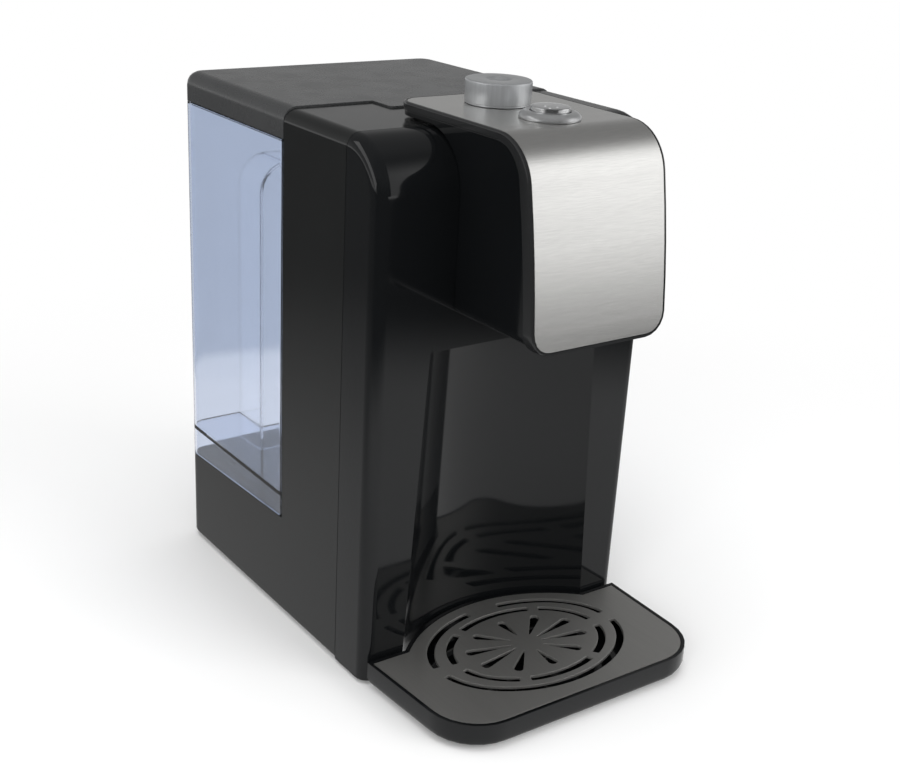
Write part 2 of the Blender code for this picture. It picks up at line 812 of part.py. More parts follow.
def build_bottom_cover(root, material):
    front = HOUSING_FRONT
    back = BODY_DEPTH - WALL - FIT
    profile = [(front, 0), (back, 0), (back, WALL), (front, WALL)]
    form = flanked(profile, WALL + FIT)
    round_off(form, side_edge(1, back), REAR_CORNER - WALL)
    cover = add("bottom_cover", form, material, root)
    motor_x = PUMP_JOINT_X - MOTOR_LENGTH / 2
    cradle_low = (motor_x - CRADLE_HALF, PUMP_Y - CRADLE_BACK_HALF, WALL / 2)
    cradle_high = (motor_x + CRADLE_HALF, PUMP_Y + CRADLE_BACK_HALF, CRADLE_HEIGHT)
    cradle = tool("pump_cradle", block(cradle_low, cradle_high), root)
    motor_space = rod(MOTOR_RADIUS + FIT, -MOTOR_LENGTH - OVER, OVER, axis="X")
    cut(cradle, tool("motor_space", motor_space, root, Vector((PUMP_JOINT_X, PUMP_Y, PUMP_HEIGHT))))
    join(cover, cradle)
    cut(cover, tool("alcove_clearance", alcove_form(WALL + FIT, -OVER, WALL + OVER, 0.0), root))
    for index, (x, y) in enumerate(foot_places()):
        hole = rod(FOOT_PEG_RADIUS + FIT, -OVER, WALL + OVER, TINY_ROUND_STEPS)
        cut(cover, tool(f"foot_hole_{index}", hole, root, Vector((x, y, 0))))


def foot_places():
    return [
        (-FOOT_FRONT_X, FOOT_FRONT_Y),
        (FOOT_FRONT_X, FOOT_FRONT_Y),
        (-FOOT_REAR_X, FOOT_REAR_Y),
        (FOOT_REAR_X, FOOT_REAR_Y),
    ]


def foot_form():
    """A rubber foot with the peg that holds it in its hole."""
    edge = FOOT_HEIGHT / 4
    profile = [
        (0, -FOOT_HEIGHT),
        (FOOT_RADIUS - edge, -FOOT_HEIGHT),
        (FOOT_RADIUS, edge - FOOT_HEIGHT),
        (FOOT_RADIUS, -FIT),
        (FOOT_PEG_RADIUS, -FIT),
        (FOOT_PEG_RADIUS, FOOT_PEG),
        (0, FOOT_PEG),
    ]
    return turned(profile, TINY_ROUND_STEPS)


def build_feet(root, tray, material):
    names = ("foot_front_left", "foot_front_right", "foot_rear_left", "foot_rear_right")
    for name, (x, y) in zip(names, foot_places()):
        add(name, foot_form(), material, root, Vector((x, y, 0)))
    for name, x in (("tray_foot_left", -TRAY_FOOT_X), ("tray_foot_right", TRAY_FOOT_X)):
        add(name, foot_form(), material, tray, Vector((x, TRAY_FOOT_Y, 0)))


def gland_place():
    return Vector((GLAND_X, BODY_DEPTH, GLAND_HEIGHT))


def build_cord_gland(root, material):
    edge = GLAND_FLANGE / 3
    profile = [
        (GLAND_BORE, -GLAND_INSIDE),
        (GLAND_NECK_RADIUS, -GLAND_INSIDE),
        (GLAND_NECK_RADIUS, FIT),
        (GLAND_FLANGE_RADIUS, FIT),
        (GLAND_FLANGE_RADIUS, FIT + GLAND_FLANGE - edge),
        (GLAND_FLANGE_RADIUS - edge, FIT + GLAND_FLANGE),
        (GLAND_BORE, FIT + GLAND_FLANGE),
    ]
    add("cord_gland", turned(profile, SMALL_ROUND_STEPS, "Y"), material, root, gland_place())


# Dispensing head


def front_centre():
    """Centre (y, z) of the wide arc that the head's front follows below the bend."""
    reach = FRONT_RADIUS - BEND_RADIUS
    y = reach * math.cos(FRONT_LEAN) - BEND_START
    z = HEAD_TOP - BEND_RADIUS - reach * math.sin(FRONT_LEAN)
    return y, z


def head_path():
    """Lengths along the head's outer line, from its rear edge over the bend to its lower edge."""
    top = HEAD_BACK + BEND_START
    bend = BEND_RADIUS * (math.pi / 2 - FRONT_LEAN)
    _, centre_z = front_centre()
    low_lean = math.asin((HEAD_LOW - centre_z) / FRONT_RADIUS)
    front = FRONT_RADIUS * (FRONT_LEAN - low_lean)
    return top, bend, front


def head_point(along, depth):
    """The point (y, z) at a length along the head's outer line, sunk into the head by a depth."""
    top, bend, _ = head_path()
    if along <= top:
        return HEAD_BACK - along, HEAD_TOP - depth
    if along <= top + bend:
        turn = (along - top) / BEND_RADIUS
        reach = BEND_RADIUS - depth
        return -BEND_START - reach * math.sin(turn), HEAD_TOP - BEND_RADIUS + reach * math.cos(turn)
    lean = FRONT_LEAN - (along - top - bend) / FRONT_RADIUS
    reach = FRONT_RADIUS - depth
    y, z = front_centre()
    return y - reach * math.cos(lean), z + reach * math.sin(lean)


def head_stations():
    """Lengths along the head's outer line at which the bend and the front below it are drawn."""
    top, bend, front = head_path()
    stations = [top + bend * step / ROLL_STEPS for step in range(ROLL_STEPS + 1)]
    straight = front - HEAD_CORNER
    return stations + [top + bend + straight * step / FRONT_STEPS for step in range(1, FRONT_STEPS)]


def frame_depth(along):
    """Depth of the head's frame, which grows over the bend."""
    top, bend, _ = head_path()
    share = min(max((along - top) / bend, 0), 1)
    return FRAME_DEPTH + FRAME_GROWTH * share


def head_rows(inset):
    """Rows (length along, half width) of a sheet that follows the head, with rounded corners."""
    length = sum(head_path())
    half = HEAD_HALF - inset
    corner = HEAD_CORNER - inset
    ends = []
    for step in range(ARC_STEPS + 1):
        turn = math.pi / 2 * step / ARC_STEPS
        ends.append((inset + corner * (1 - math.cos(turn)), half - corner * (1 - math.sin(turn))))
    middle = [(along, half) for along in head_stations()]
    return [*ends, *middle, *[(length - along, width) for along, width in reversed(ends)]]


def head_sheet(inset, outer_depth, inner_depth, edge=0.0):
    """A sheet bent over the head between two depths, the inner one a function of the length along."""
    form = bmesh.new()
    rows = []
    for along, half in head_rows(inset):
        inner = head_point(along, inner_depth(along))
        right = [(side, *head_point(along, depth)) for side, depth in sheet_edge(half, outer_depth, edge)]
        left = [(-x, y, z) for x, y, z in reversed(right)]
        ring = [*left, (-half, *inner), (half, *inner), *right]
        rows.append([form.verts.new(place) for place in ring])
    for first, second in zip(rows, rows[1:]):
        bridge(form, first, second)
    form.faces.new(rows[0])
    form.faces.new(rows[-1])
    return form


def sheet_edge(half, outer_depth, edge):
    """Points (half width, depth) across one long outer edge of a sheet, rounded where an edge is given."""
    if not edge:
        return [(half, outer_depth)]
    points = []
    for step in range(FRAME_EDGE_STEPS + 1):
        turn = math.pi / 2 * step / FRAME_EDGE_STEPS
        points.append((half - edge * (1 - math.cos(turn)), outer_depth + edge * (1 - math.sin(turn))))
    return points


def shell_toe():
    """The point at which the shell's front reaches its underside."""
    y, z = front_centre()
    reach = FRONT_RADIUS - FRAME_DEPTH - FRAME_GROWTH - FIT
    lean = math.asin((SHELL_LOW - z) / reach)
    return y - reach * math.cos(lean), SHELL_LOW


def build_head_shell(root, material):
    profile = [(SHELL_BACK, SHELL_LOW), (SHELL_BACK, FRAME_UNDER - FIT)]
    profile += [head_point(along, frame_depth(along) + FIT) for along in head_stations()]
    profile.append(shell_toe())
    half = HEAD_HALF - SHELL_INSET
    form = prism(profile, -half, half, "X")

    def lower_side(a, b):
        return close_to(a.z, SHELL_LOW) and close_to(b.z, SHELL_LOW) and a.x * b.x > 0

    def rear_corner(a, b):
        return close_to(a.y, SHELL_BACK) and close_to(b.y, SHELL_BACK) and a.x * b.x > 0

    round_off(form, lower_side, SHELL_EDGE, ARC_STEPS // 2 + 1)
    round_off(form, rear_corner, HEAD_CORNER - SHELL_INSET)
    shell = add("head_shell", form, material, root)
    column = [(-FIT, SHELL_LOW - OVER), *roll_points(FIT)]
    far = SHELL_BACK + OVER
    column += [(far, SHOULDER_HEIGHT + FIT), (far, SHELL_LOW - OVER)]
    inner = half - WALL
    inner_back = SHELL_BACK - WALL
    corner = HEAD_CORNER - SHELL_INSET - WALL
    corners = [
        (-inner, -HEAD_TOP, 0),
        (inner, -HEAD_TOP, 0),
        (inner, inner_back, corner),
        (-inner, inner_back, corner),
    ]
    hollow = prism(rounded(corners), SHELL_FLOOR_TOP, HEAD_TOP + OVER)

    def lower_edge(a, b):
        return close_to(a.z, SHELL_FLOOR_TOP) and close_to(b.z, SHELL_FLOOR_TOP) and a.y + b.y > -HEAD_TOP * 2

    round_off(hollow, lower_edge, SHELL_EDGE - WALL, ARC_STEPS // 2)
    spout_hole = rod(SPOUT_RADIUS + FIT, SHELL_LOW - OVER, SHELL_FLOOR_TOP + OVER)
    cut(
        shell,
        tool("column_envelope", prism(column, -WIDTH, WIDTH, "X"), root),
        tool("head_hollow", hollow, root),
        tool("spout_hole", spout_hole, root, Vector((0, SPOUT_Y, 0))),
    )


def top_hole(name, radius, y, root):
    """A hole straight down through the head's top."""
    return tool(name, rod(radius, FRAME_UNDER - OVER, HEAD_TOP + OVER), root, Vector((0, y, 0)))


def build_head_frame(root, material):
    frame = add("head_frame", head_sheet(0.0, 0.0, frame_depth, FRAME_EDGE), material, root)
    cut(
        frame,
        top_hole("frame_spindle_hole", SPINDLE_RADIUS + RUN, KNOB_Y, root),
        top_hole("frame_collar_hole", collar_neck_radius() + FIT, BUTTON_Y, root),
    )
    for index, (x, y) in enumerate(board_posts()):
        post = rod(BOARD_POST_RADIUS, BOARD_TOP + FIT, FRAME_UNDER + STEEL_THICKNESS, TINY_ROUND_STEPS)
        join(frame, tool(f"board_post_{index}", post, root, Vector((x, y, 0))))
    pocket = head_sheet(STEEL_INSET - FIT, -OVER, lambda along: STEEL_THICKNESS + FIT)
    cut(frame, tool("steel_pocket", pocket, root))


def board_posts():
    places_found = []
    for y in (BOARD_POST_FRONT, BOARD_POST_BACK):
        places_found += [(-BOARD_POST_X, y), (BOARD_POST_X, y)]
    return places_found


def build_steel_panel(root, material):
    panel = add("steel_panel", head_sheet(STEEL_INSET, 0.0, lambda along: STEEL_THICKNESS), material, root)
    cut(
        panel,
        top_hole("panel_spindle_hole", SPINDLE_RADIUS + RUN, KNOB_Y, root),
        top_hole("panel_collar_hole", collar_neck_radius() + FIT, BUTTON_Y, root),
    )


def build_knob(knob_body, material):
    low = HEAD_TOP + KNOB_LIFT
    top = low + KNOB_HEIGHT
    bore = SPINDLE_RADIUS + FIT
    profile = [
        (0, SPINDLE_TOP + FIT),
        (bore, SPINDLE_TOP + FIT),
        (bore, low),
        (KNOB_BOSS_RADIUS, low),
        (KNOB_BOSS_RADIUS, top - KNOB_ROOF),
        (KNOB_RADIUS - KNOB_WALL, top - KNOB_ROOF),
        (KNOB_RADIUS - KNOB_WALL, low),
        (KNOB_RADIUS, low),
        (KNOB_RADIUS, top - KNOB_EDGE),
        (KNOB_RADIUS - KNOB_EDGE / 3, top - KNOB_EDGE / 3),
        (KNOB_RADIUS - KNOB_EDGE, top),
        (KNOB_DIMPLE_RADIUS, top),
        (KNOB_DIMPLE_RADIUS - KNOB_DIMPLE_DEPTH, top - KNOB_DIMPLE_DEPTH),
        (0, top - KNOB_DIMPLE_DEPTH),
    ]
    add("knob", turned(profile), material, knob_body, Vector((0, KNOB_Y, 0)))


def build_knob_spindle(knob_body, material):
    low = BOARD_TOP + FIT + SELECTOR_FLOOR + FIT
    spindle = rod(SPINDLE_RADIUS, low, SPINDLE_TOP)
    add("knob_spindle", spindle, material, knob_body, Vector((0, KNOB_Y, 0)))


def build_selector(root, material):
    low = BOARD_TOP + FIT
    top = low + SELECTOR_HEIGHT
    body_low = (-SELECTOR_HALF, KNOB_Y - SELECTOR_HALF, low)
    body_high = (SELECTOR_HALF, KNOB_Y + SELECTOR_HALF, top)
    body = add("selector_body", block(body_low, body_high, BLOCK_EDGE), material, root)
    place = Vector((0, KNOB_Y, 0))
    collar = rod(SELECTOR_COLLAR_RADIUS, top - SELECTOR_FLOOR, FRAME_UNDER - FIT)
    bore = rod(SPINDLE_RADIUS + FIT, low + SELECTOR_FLOOR, FRAME_UNDER + OVER)
    join(body, tool("selector_collar", collar, root, place))
    cut(body, tool("selector_bore", bore, root, place))


def collar_neck_radius():
    return CAP_RADIUS + RUN + COLLAR_WALL


def build_button_collar(root, material):
    bore = CAP_RADIUS + RUN
    neck = collar_neck_radius()
    base = HEAD_TOP + FIT
    crest = base + COLLAR_RISE
    spread = COLLAR_RADIUS - bore - COLLAR_CREST
    climb = COLLAR_RISE - COLLAR_LIP
    dome = []
    for step in range(ARC_STEPS + 1):
        turn = math.pi / 2 * step / ARC_STEPS
        radius = COLLAR_RADIUS - spread * (1 - math.cos(turn))
        dome.append((radius, base + COLLAR_LIP + climb * math.sin(turn)))
    profile = [
        (STEM_RADIUS + RUN, COLLAR_FLOOR_TOP - COLLAR_FLOOR),
        (neck, COLLAR_FLOOR_TOP - COLLAR_FLOOR),
        (neck, base),
        (COLLAR_RADIUS, base),
        *dome,
        (bore, crest - COLLAR_LIP),
        (bore, COLLAR_FLOOR_TOP),
        (STEM_RADIUS + RUN, COLLAR_FLOOR_TOP),
    ]
    add("button_collar", turned(profile), material, root, Vector((0, BUTTON_Y, 0)))


def build_button(button_body, cap_material, stem_material):
    roof = CAP_TOP - CAP_ROOF
    skirt_low = CAP_TOP - CAP_HEIGHT
    profile = [
        (0, roof),
        (CAP_RADIUS - CAP_WALL, roof),
        (CAP_RADIUS - CAP_WALL, skirt_low),
        (CAP_RADIUS, skirt_low),
        (CAP_RADIUS, CAP_TOP - CAP_EDGE),
        (CAP_RADIUS - CAP_EDGE, CAP_TOP),
        (0, CAP_TOP),
    ]
    place = Vector((0, BUTTON_Y, 0))
    add("button_cap", turned(profile), cap_material, button_body, place)
    stem = rod(STEM_RADIUS, SWITCH_TOP - SWITCH_ENTRY, roof - FIT)
    add("button_stem", stem, stem_material, button_body, place)


def build_microswitch(root, material):
    low = (-SWITCH_HALF, BUTTON_Y - SWITCH_HALF, BOARD_TOP + FIT)
    high = (SWITCH_HALF, BUTTON_Y + SWITCH_HALF, SWITCH_TOP)
    switch = add("microswitch", block(low, high, BLOCK_EDGE), material, root)
    well = rod(STEM_RADIUS + RUN, SWITCH_TOP - SWITCH_ENTRY - BUTTON_TRAVEL - RUN, SWITCH_TOP + OVER)
    cut(switch, tool("switch_well", well, root, Vector((0, BUTTON_Y, 0))))


def build_button_spring(root, material):
    low = COLLAR_FLOOR_TOP + FIT
    high = CAP_TOP - CAP_ROOF - FIT
    coil(
        "button_spring",
        0,
        BUTTON_Y,
        low,
        high,
        BUTTON_SPRING_RADIUS,
        BUTTON_SPRING_WIRE,
        BUTTON_SPRING_TURNS,
        material,
        root,
    )


def build_control_board(root, material):
    low = (-BOARD_HALF, BOARD_FRONT, BOARD_UNDER)
    high = (BOARD_HALF, BOARD_BACK, BOARD_TOP)
    add("control_board", block(low, high, BLOCK_EDGE), material, root)


def build_spout(root, nozzle_material, chamber_material):
    place = Vector((0, SPOUT_Y, 0))
    flange_low = SHELL_FLOOR_TOP + FIT
    flange_top = flange_low + SPOUT_FLANGE
    mouth = SHELL_LOW - SPOUT_DROP
    profile = [
        (SPOUT_BORE, mouth),
        (SPOUT_BORE + SPOUT_MOUTH_WALL, mouth),
        (SPOUT_RADIUS, mouth + SPOUT_RADIUS - SPOUT_BORE),
        (SPOUT_RADIUS, flange_low),
        (SPOUT_FLANGE_RADIUS, flange_low),
        (SPOUT_FLANGE_RADIUS, flange_top),
        (SPOUT_BORE, flange_top),
    ]
    add("spout_nozzle", turned(profile, SMALL_ROUND_STEPS), nozzle_material, root, place)
    roof = CHAMBER_LOW + CHAMBER_HEIGHT
    profile = [
        (SPOUT_BORE, CHAMBER_LOW),
        (CHAMBER_RADIUS, CHAMBER_LOW),
        (CHAMBER_RADIUS, roof),
        (HOSE_PORT_RADIUS, roof),
        (HOSE_PORT_RADIUS, CHAMBER_PORT_TOP),
        (HOSE_PORT_BORE, CHAMBER_PORT_TOP),
        (HOSE_PORT_BORE, roof - CHAMBER_WALL),
        (CHAMBER_RADIUS - CHAMBER_WALL, roof - CHAMBER_WALL),
        (CHAMBER_RADIUS - CHAMBER_WALL, CHAMBER_LOW + CHAMBER_WALL),
        (SPOUT_BORE, CHAMBER_LOW + CHAMBER_WALL),
    ]
    add("outlet_chamber", turned(profile, SMALL_ROUND_STEPS), chamber_material, root, place)


# Tank, its lid and its outlet valve


def tank_form(inset, low_at, high):
    """The tank's outline inset from its outer face, between a sloping underside and a level top."""
    front = BAY_FRONT + TANK_GAP + inset
    back = BODY_DEPTH - inset
    profile = [(front, low_at(front)), (back, low_at(back)), (back, high), (front, high)]
    form = flanked(profile, inset)

    upright = side_edge(1, front)

    def upright_or_heel(a, b):
        in_front = close_to(a.y, front) and close_to(b.y, front)
        heel = in_front and close_to(a.z, low_at(front)) and close_to(b.z, low_at(front))
        return upright(a, b) or (heel and not inset)

    round_off(form, side_edge(1, back), REAR_CORNER - inset)
    round_off(form, upright_or_heel, max(TANK_FRONT_CORNER - inset, FIT), 2)
    return form


def grip_form(extra, low):
    """The hand recess up the tank's back, its walls moved out by extra."""
    half = GRIP_HALF + extra
    top = GRIP_TOP + extra
    corner = GRIP_CORNER + extra
    outline = rounded([(-half, low, 0), (half, low, 0), (half, top, corner), (-half, top, corner)])
    return prism(outline, BODY_DEPTH - GRIP_DEPTH - extra, BODY_DEPTH + OVER, "Y")


def build_tank(tank_body, material):
    tank = add("tank", tank_form(0.0, lambda y: deck_at(y) + FIT, TANK_RIM), material, tank_body)
    neck_form = tank_form(TANK_NECK_INSET, lambda y: TANK_RIM - TANK_WALL, TANK_TOP)
    neck = tool("tank_neck", neck_form, tank_body)
    grip = tool("grip_recess", grip_form(0.0, -OVER), tank_body)
    grip_wall = tool("grip_wall", grip_form(TANK_WALL, -OVER), tank_body)
    room_form = tank_form(TANK_WALL, lambda y: TANK_FLOOR_TOP, TANK_RIM - TANK_WALL / 2)
    room = tool("tank_room", room_form, tank_body)
    throat_inset = TANK_NECK_INSET + TANK_NECK_WALL
    throat_form = tank_form(throat_inset, lambda y: TANK_FLOOR_TOP + FIT, TANK_TOP + OVER)
    throat = tool("tank_throat", throat_form, tank_body)
    floor_low = TANK_FLOOR_TOP - TANK_WALL
    skirt = tool("tank_skirt_space", tank_form(TANK_WALL, lambda y: -OVER, floor_low), tank_body)
    for hollow in (room, throat, skirt):
        cut(hollow, grip_wall)
    hole = rod(SPIGOT_RADIUS + FIT, floor_low - OVER, TANK_FLOOR_TOP + OVER)
    join(tank, neck)
    cut(tank, grip, room, throat, skirt, tool("spigot_hole", hole, tank_body, socket_place()))


def build_tank_lid(lid_body, material):
    front = BAY_FRONT + LID_GAP
    top = SHOULDER_HEIGHT
    form = flanked([(front, LID_LOW), (BODY_DEPTH, LID_LOW), (BODY_DEPTH, top), (front, top)])

    def top_outer(a, b):
        at_top = close_to(a.z, top) and close_to(b.z, top)
        return at_top and not (close_to(a.y, front) and close_to(b.y, front))

    round_off(form, side_edge(1, BODY_DEPTH), REAR_CORNER)
    round_off(form, top_outer, EDGE_RADIUS)
    lid = add("tank_lid", form, material, lid_body)
    wall = TANK_NECK_INSET - LID_GAP
    inside = tool("lid_inside", lid_hollow(wall), lid_body)
    corners = [
        (-TAB_HALF, TAB_FRONT, TAB_CORNER),
        (TAB_HALF, TAB_FRONT, TAB_CORNER),
        (TAB_HALF, front + wall / 2, 0),
        (-TAB_HALF, front + wall / 2, 0),
    ]
    tab = tool("lid_tab", prism(rounded(corners), top - TAB_DEPTH, top), lid_body)
    join(lid, tab)
    cut(lid, inside)


def lid_hollow(wall):
    return tank_form(wall, lambda y: LID_LOW - OVER, SHOULDER_HEIGHT - LID_ROOF)


def socket_place():
    return Vector((0, SOCKET_Y, 0))


def socket_seat():
    """Height of the flat seat that the socket's flange rests on."""
    return deck_at(SOCKET_Y + SOCKET_FLANGE_RADIUS) - SOCKET_SEAT_DROP


def build_socket(root, material):
    seat = socket_seat() + FIT
    low = seat - SOCKET_DEPTH
    floor = low + SOCKET_FLOOR
    profile = [
        (0, low),
        (SOCKET_RADIUS, low),
        (SOCKET_RADIUS, seat),
        (SOCKET_FLANGE_RADIUS, seat),
        (SOCKET_FLANGE_RADIUS, seat + SOCKET_FLANGE / 2),
        (SOCKET_BORE, seat + SOCKET_FLANGE / 2),
        (SOCKET_BORE, SOCKET_LEDGE_HEIGHT),
        (SOCKET_LEDGE_BORE, SOCKET_LEDGE_HEIGHT),
        (SOCKET_LEDGE_BORE, floor),
        (SOCKET_PIN_RADIUS, floor),
        (SOCKET_PIN_RADIUS, POPPET_STEM_LOW - FIT),
        (0, POPPET_STEM_LOW - FIT),
    ]
    socket = add("tank_socket", turned(profile, SMALL_ROUND_STEPS), material, root, socket_place())
    port_place = socket_place() + Vector((0, 0, SOCKET_PORT_HEIGHT))
    port = rod(HOSE_PORT_RADIUS, SOCKET_LEDGE_BORE + FIT, SOCKET_RADIUS + SOCKET_PORT_LENGTH, axis="X")
    bore = rod(HOSE_PORT_BORE, SOCKET_LEDGE_BORE - FIT, SOCKET_RADIUS + SOCKET_PORT_LENGTH + OVER, axis="X")
    join(socket, tool("socket_port", port, root, port_place))
    cut(socket, tool("socket_port_bore", bore, root, port_place))


def ring(inner, outer, low, high, steps=SMALL_ROUND_STEPS):
    return turned([(inner, low), (outer, low), (outer, high), (inner, high)], steps)


def build_valve(root, tank_body, poppet_body, dark, soft, steel):
    place = socket_place()
    seal_low = SOCKET_LEDGE_HEIGHT + FIT
    seal = ring(SOCKET_LEDGE_BORE - FIT, SOCKET_BORE - FIT, seal_low, seal_low + SEAL_HEIGHT)
    add("socket_seal", seal, soft, root, place)
    flange_low = TANK_FLOOR_TOP + FIT
    profile = [
        (SEAT_RING_BORE, SEAT_RING_LOW),
        (SPIGOT_BORE, SPIGOT_LOW),
        (SPIGOT_RADIUS, SPIGOT_LOW),
        (SPIGOT_RADIUS, flange_low),
        (SPIGOT_FLANGE_RADIUS, flange_low),
        (SPIGOT_FLANGE_RADIUS, SPIGOT_TOP),
        (SPIGOT_BORE, SPIGOT_TOP),
        (SPIGOT_BORE, SEAT_RING_TOP),
        (SEAT_RING_BORE, SEAT_RING_TOP),
    ]
    add("valve_housing", turned(profile, SMALL_ROUND_STEPS), dark, tank_body, place)
    washer = ring(POPPET_STEM_RADIUS + FIT, WASHER_RADIUS, WASHER_LOW, WASHER_LOW + WASHER_THICKNESS)
    add("valve_washer", washer, soft, poppet_body, place)
    profile = [
        (0, POPPET_STEM_LOW),
        (POPPET_STEM_RADIUS, POPPET_STEM_LOW),
        (POPPET_STEM_RADIUS, POPPET_LOW),
        (WASHER_RADIUS, POPPET_LOW),
        (WASHER_RADIUS, POPPET_LOW + POPPET_HEAD),
        (POPPET_STEM_RADIUS, POPPET_LOW + POPPET_HEAD),
        (POPPET_STEM_RADIUS, POPPET_STEM_TOP),
        (0, POPPET_STEM_TOP),
    ]
    add("valve_poppet", turned(profile, TINY_ROUND_STEPS), dark, poppet_body, place)
    bore = POPPET_STEM_RADIUS + RUN
    cap_low = SPIGOT_TOP + FIT
    cap_top = cap_low + FILTER_CAP
    profile = [
        (0, FILTER_STEM_BORE_TOP),
        (bore, FILTER_STEM_BORE_TOP),
        (bore, FILTER_LOW),
        (SPIGOT_BORE - FIT, FILTER_LOW),
        (SPIGOT_BORE - FIT, cap_low),
        (FILTER_RADIUS, cap_low),
        (FILTER_RADIUS, cap_top),
        (SPIGOT_BORE, cap_top + FILTER_CROWN),
        (0, cap_top + FILTER_CROWN),
    ]
    add("tank_filter", turned(profile, SMALL_ROUND_STEPS), soft, tank_body, place)
    coil(
        "valve_spring",
        0,
        SOCKET_Y,
        POPPET_LOW + POPPET_HEAD + FIT,
        FILTER_LOW - FIT,
        VALVE_SPRING_RADIUS,
        VALVE_SPRING_WIRE,
        VALVE_SPRING_TURNS,
        steel,
        tank_body,
    )


# Drip tray


def tray_outline(inset):
    """The tray seen from above: rounded in front, with a tongue that follows the alcove's wall."""
    back = -TRAY_GAP - inset
    front = inset - TRAY_REACH
    corner = TRAY_CORNER - inset
    corners = [
        (inset - TRAY_BACK_HALF, back, 0),
        (inset - TRAY_FRONT_HALF, front, corner),
        (TRAY_FRONT_HALF - inset, front, corner),
        (TRAY_BACK_HALF - inset, back, 0),
    ]
    outline = rounded(corners, ARC_STEPS + 2)
    radius = alcove_radius(TRAY_HEIGHT) - TRAY_CLEAR - inset
    half_angle = math.acos((ALCOVE_SETBACK + back) / radius)
    for step in range(ALCOVE_STEPS + 1):
        turn = half_angle * (1 - 2 * step / ALCOVE_STEPS)
        outline.append(Vector((radius * math.sin(turn), radius * math.cos(turn) - ALCOVE_SETBACK)))
    return outline


def build_drip_tray(tray_body, material):
    form = prism(tray_outline(0.0), 0.0, TRAY_HEIGHT)
    round_off(form, lambda a, b: close_to(a.z, 0) and close_to(b.z, 0), TRAY_EDGE, ARC_STEPS // 2)
    tray = add("drip_tray", form, material, tray_body)
    rebate = prism(tray_outline(TRAY_RIM), LEDGE_TOP, TRAY_HEIGHT + OVER)
    basin = prism(tray_outline(TRAY_RIM + TRAY_LEDGE), TRAY_FLOOR, LEDGE_TOP + OVER)
    cut(tray, tool("plate_rebate", rebate, tray_body), tool("tray_basin", basin, tray_body))
    for name, x in (("tray_peg_left", -TRAY_FOOT_X), ("tray_peg_right", TRAY_FOOT_X)):
        hole = rod(FOOT_PEG_RADIUS + FIT, -OVER, FOOT_PEG + FIT, TINY_ROUND_STEPS)
        cut(tray, tool(name, hole, tray_body, Vector((x, TRAY_FOOT_Y, 0))))


def ring_slot(form, half, depth, start, end, steps):
    """One curved slot of a broken oval ring, between two bearings in degrees."""
    outline = []
    for side in (1, -1):
        for step in range(steps + 1):
            share = step / steps if side > 0 else 1 - step / steps
            turn = math.radians(start + (end - start) * share)
            across = half + side * RING_SLOT_WIDTH / 2
            along = depth + side * RING_SLOT_WIDTH / 2
            outline.append((across * math.cos(turn), RING_Y + along * math.sin(turn)))
    add_slot(form, outline)


def drop_slot(form, bearing):
    """A drop-shaped slot that swells outwards along one bearing in degrees, up to the oval of drops."""
    turn = math.radians(bearing)
    tip = Vector((DROP_RING_HALF * math.cos(turn), DROP_RING_DEPTH * math.sin(turn)))
    along = tip.normalized()
    across = Vector((-along.y, along.x))
    belly = tip.length - DROP_WIDTH / 2
    outline = [along * DROP_START]
    for step in range(ARC_STEPS + 1):
        swing = math.pi / 2 * (2 * step / ARC_STEPS - 1)
        arc = across * math.sin(swing) + along * math.cos(swing)
        outline.append(along * belly + arc * DROP_WIDTH / 2)
    add_slot(form, [(point.x, point.y + RING_Y) for point in outline])


def add_slot(form, outline):
    rings = []
    for z in (PLATE_UNDER - OVER, TRAY_HEIGHT + OVER):
        rings.append([form.verts.new((x, y, z)) for x, y in outline])
        form.faces.new(rings[-1])
    bridge(form, rings[0], rings[1])


def build_drip_plate(plate_body, material):
    form = prism(tray_outline(TRAY_RIM + PLATE_GAP), PLATE_UNDER, TRAY_HEIGHT)
    plate = add("drip_plate", form, material, plate_body)
    slots = bmesh.new()
    for start, end, steps in OUTER_RING_SLOTS:
        ring_slot(slots, OUTER_RING_HALF, OUTER_RING_DEPTH, start, end, steps)
    for start, end, steps in INNER_RING_SLOTS:
        ring_slot(slots, INNER_RING_HALF, INNER_RING_DEPTH, start, end, steps)
    for index in range(DROP_COUNT):
        drop_slot(slots, 360 / DROP_COUNT * (index + 1 / 2))
    cut(plate, tool("plate_slots", slots, plate_body))


# Pump, heater and hoses


def build_pump(root, motor_material, head_material):
    place = Vector((PUMP_JOINT_X, PUMP_Y, PUMP_HEIGHT))
    profile = [
        (0, -MOTOR_LENGTH - MOTOR_BOSS),
        (MOTOR_BOSS_RADIUS, -MOTOR_LENGTH - MOTOR_BOSS),
        (MOTOR_BOSS_RADIUS, -MOTOR_LENGTH),
        (MOTOR_RADIUS, -MOTOR_LENGTH),
        (MOTOR_RADIUS, 0),
        (0, 0),
    ]
    add("pump_motor", turned(profile, SMALL_ROUND_STEPS, "X"), motor_material, root, place)
    profile = [
        (0, FIT),
        (PUMP_RADIUS, FIT),
        (PUMP_RADIUS, PUMP_LENGTH),
        (HOSE_PORT_RADIUS, PUMP_LENGTH),
        (HOSE_PORT_RADIUS, PUMP_LENGTH + PUMP_PORT_LENGTH),
        (HOSE_PORT_BORE, PUMP_LENGTH + PUMP_PORT_LENGTH),
        (HOSE_PORT_BORE, PUMP_LENGTH - PUMP_PORT_LENGTH),
        (0, PUMP_LENGTH - PUMP_PORT_LENGTH),
    ]
    head = add("pump_head", turned(profile, SMALL_ROUND_STEPS, "X"), head_material, root, place)
    outlet = rod(HOSE_PORT_RADIUS, -PUMP_RADIUS - PUMP_PORT_LENGTH, -PUMP_RADIUS + PUMP_PORT_LENGTH, axis="Y")
    join(head, tool("pump_outlet", outlet, root, place + Vector((PUMP_LENGTH / 2, 0, 0))))


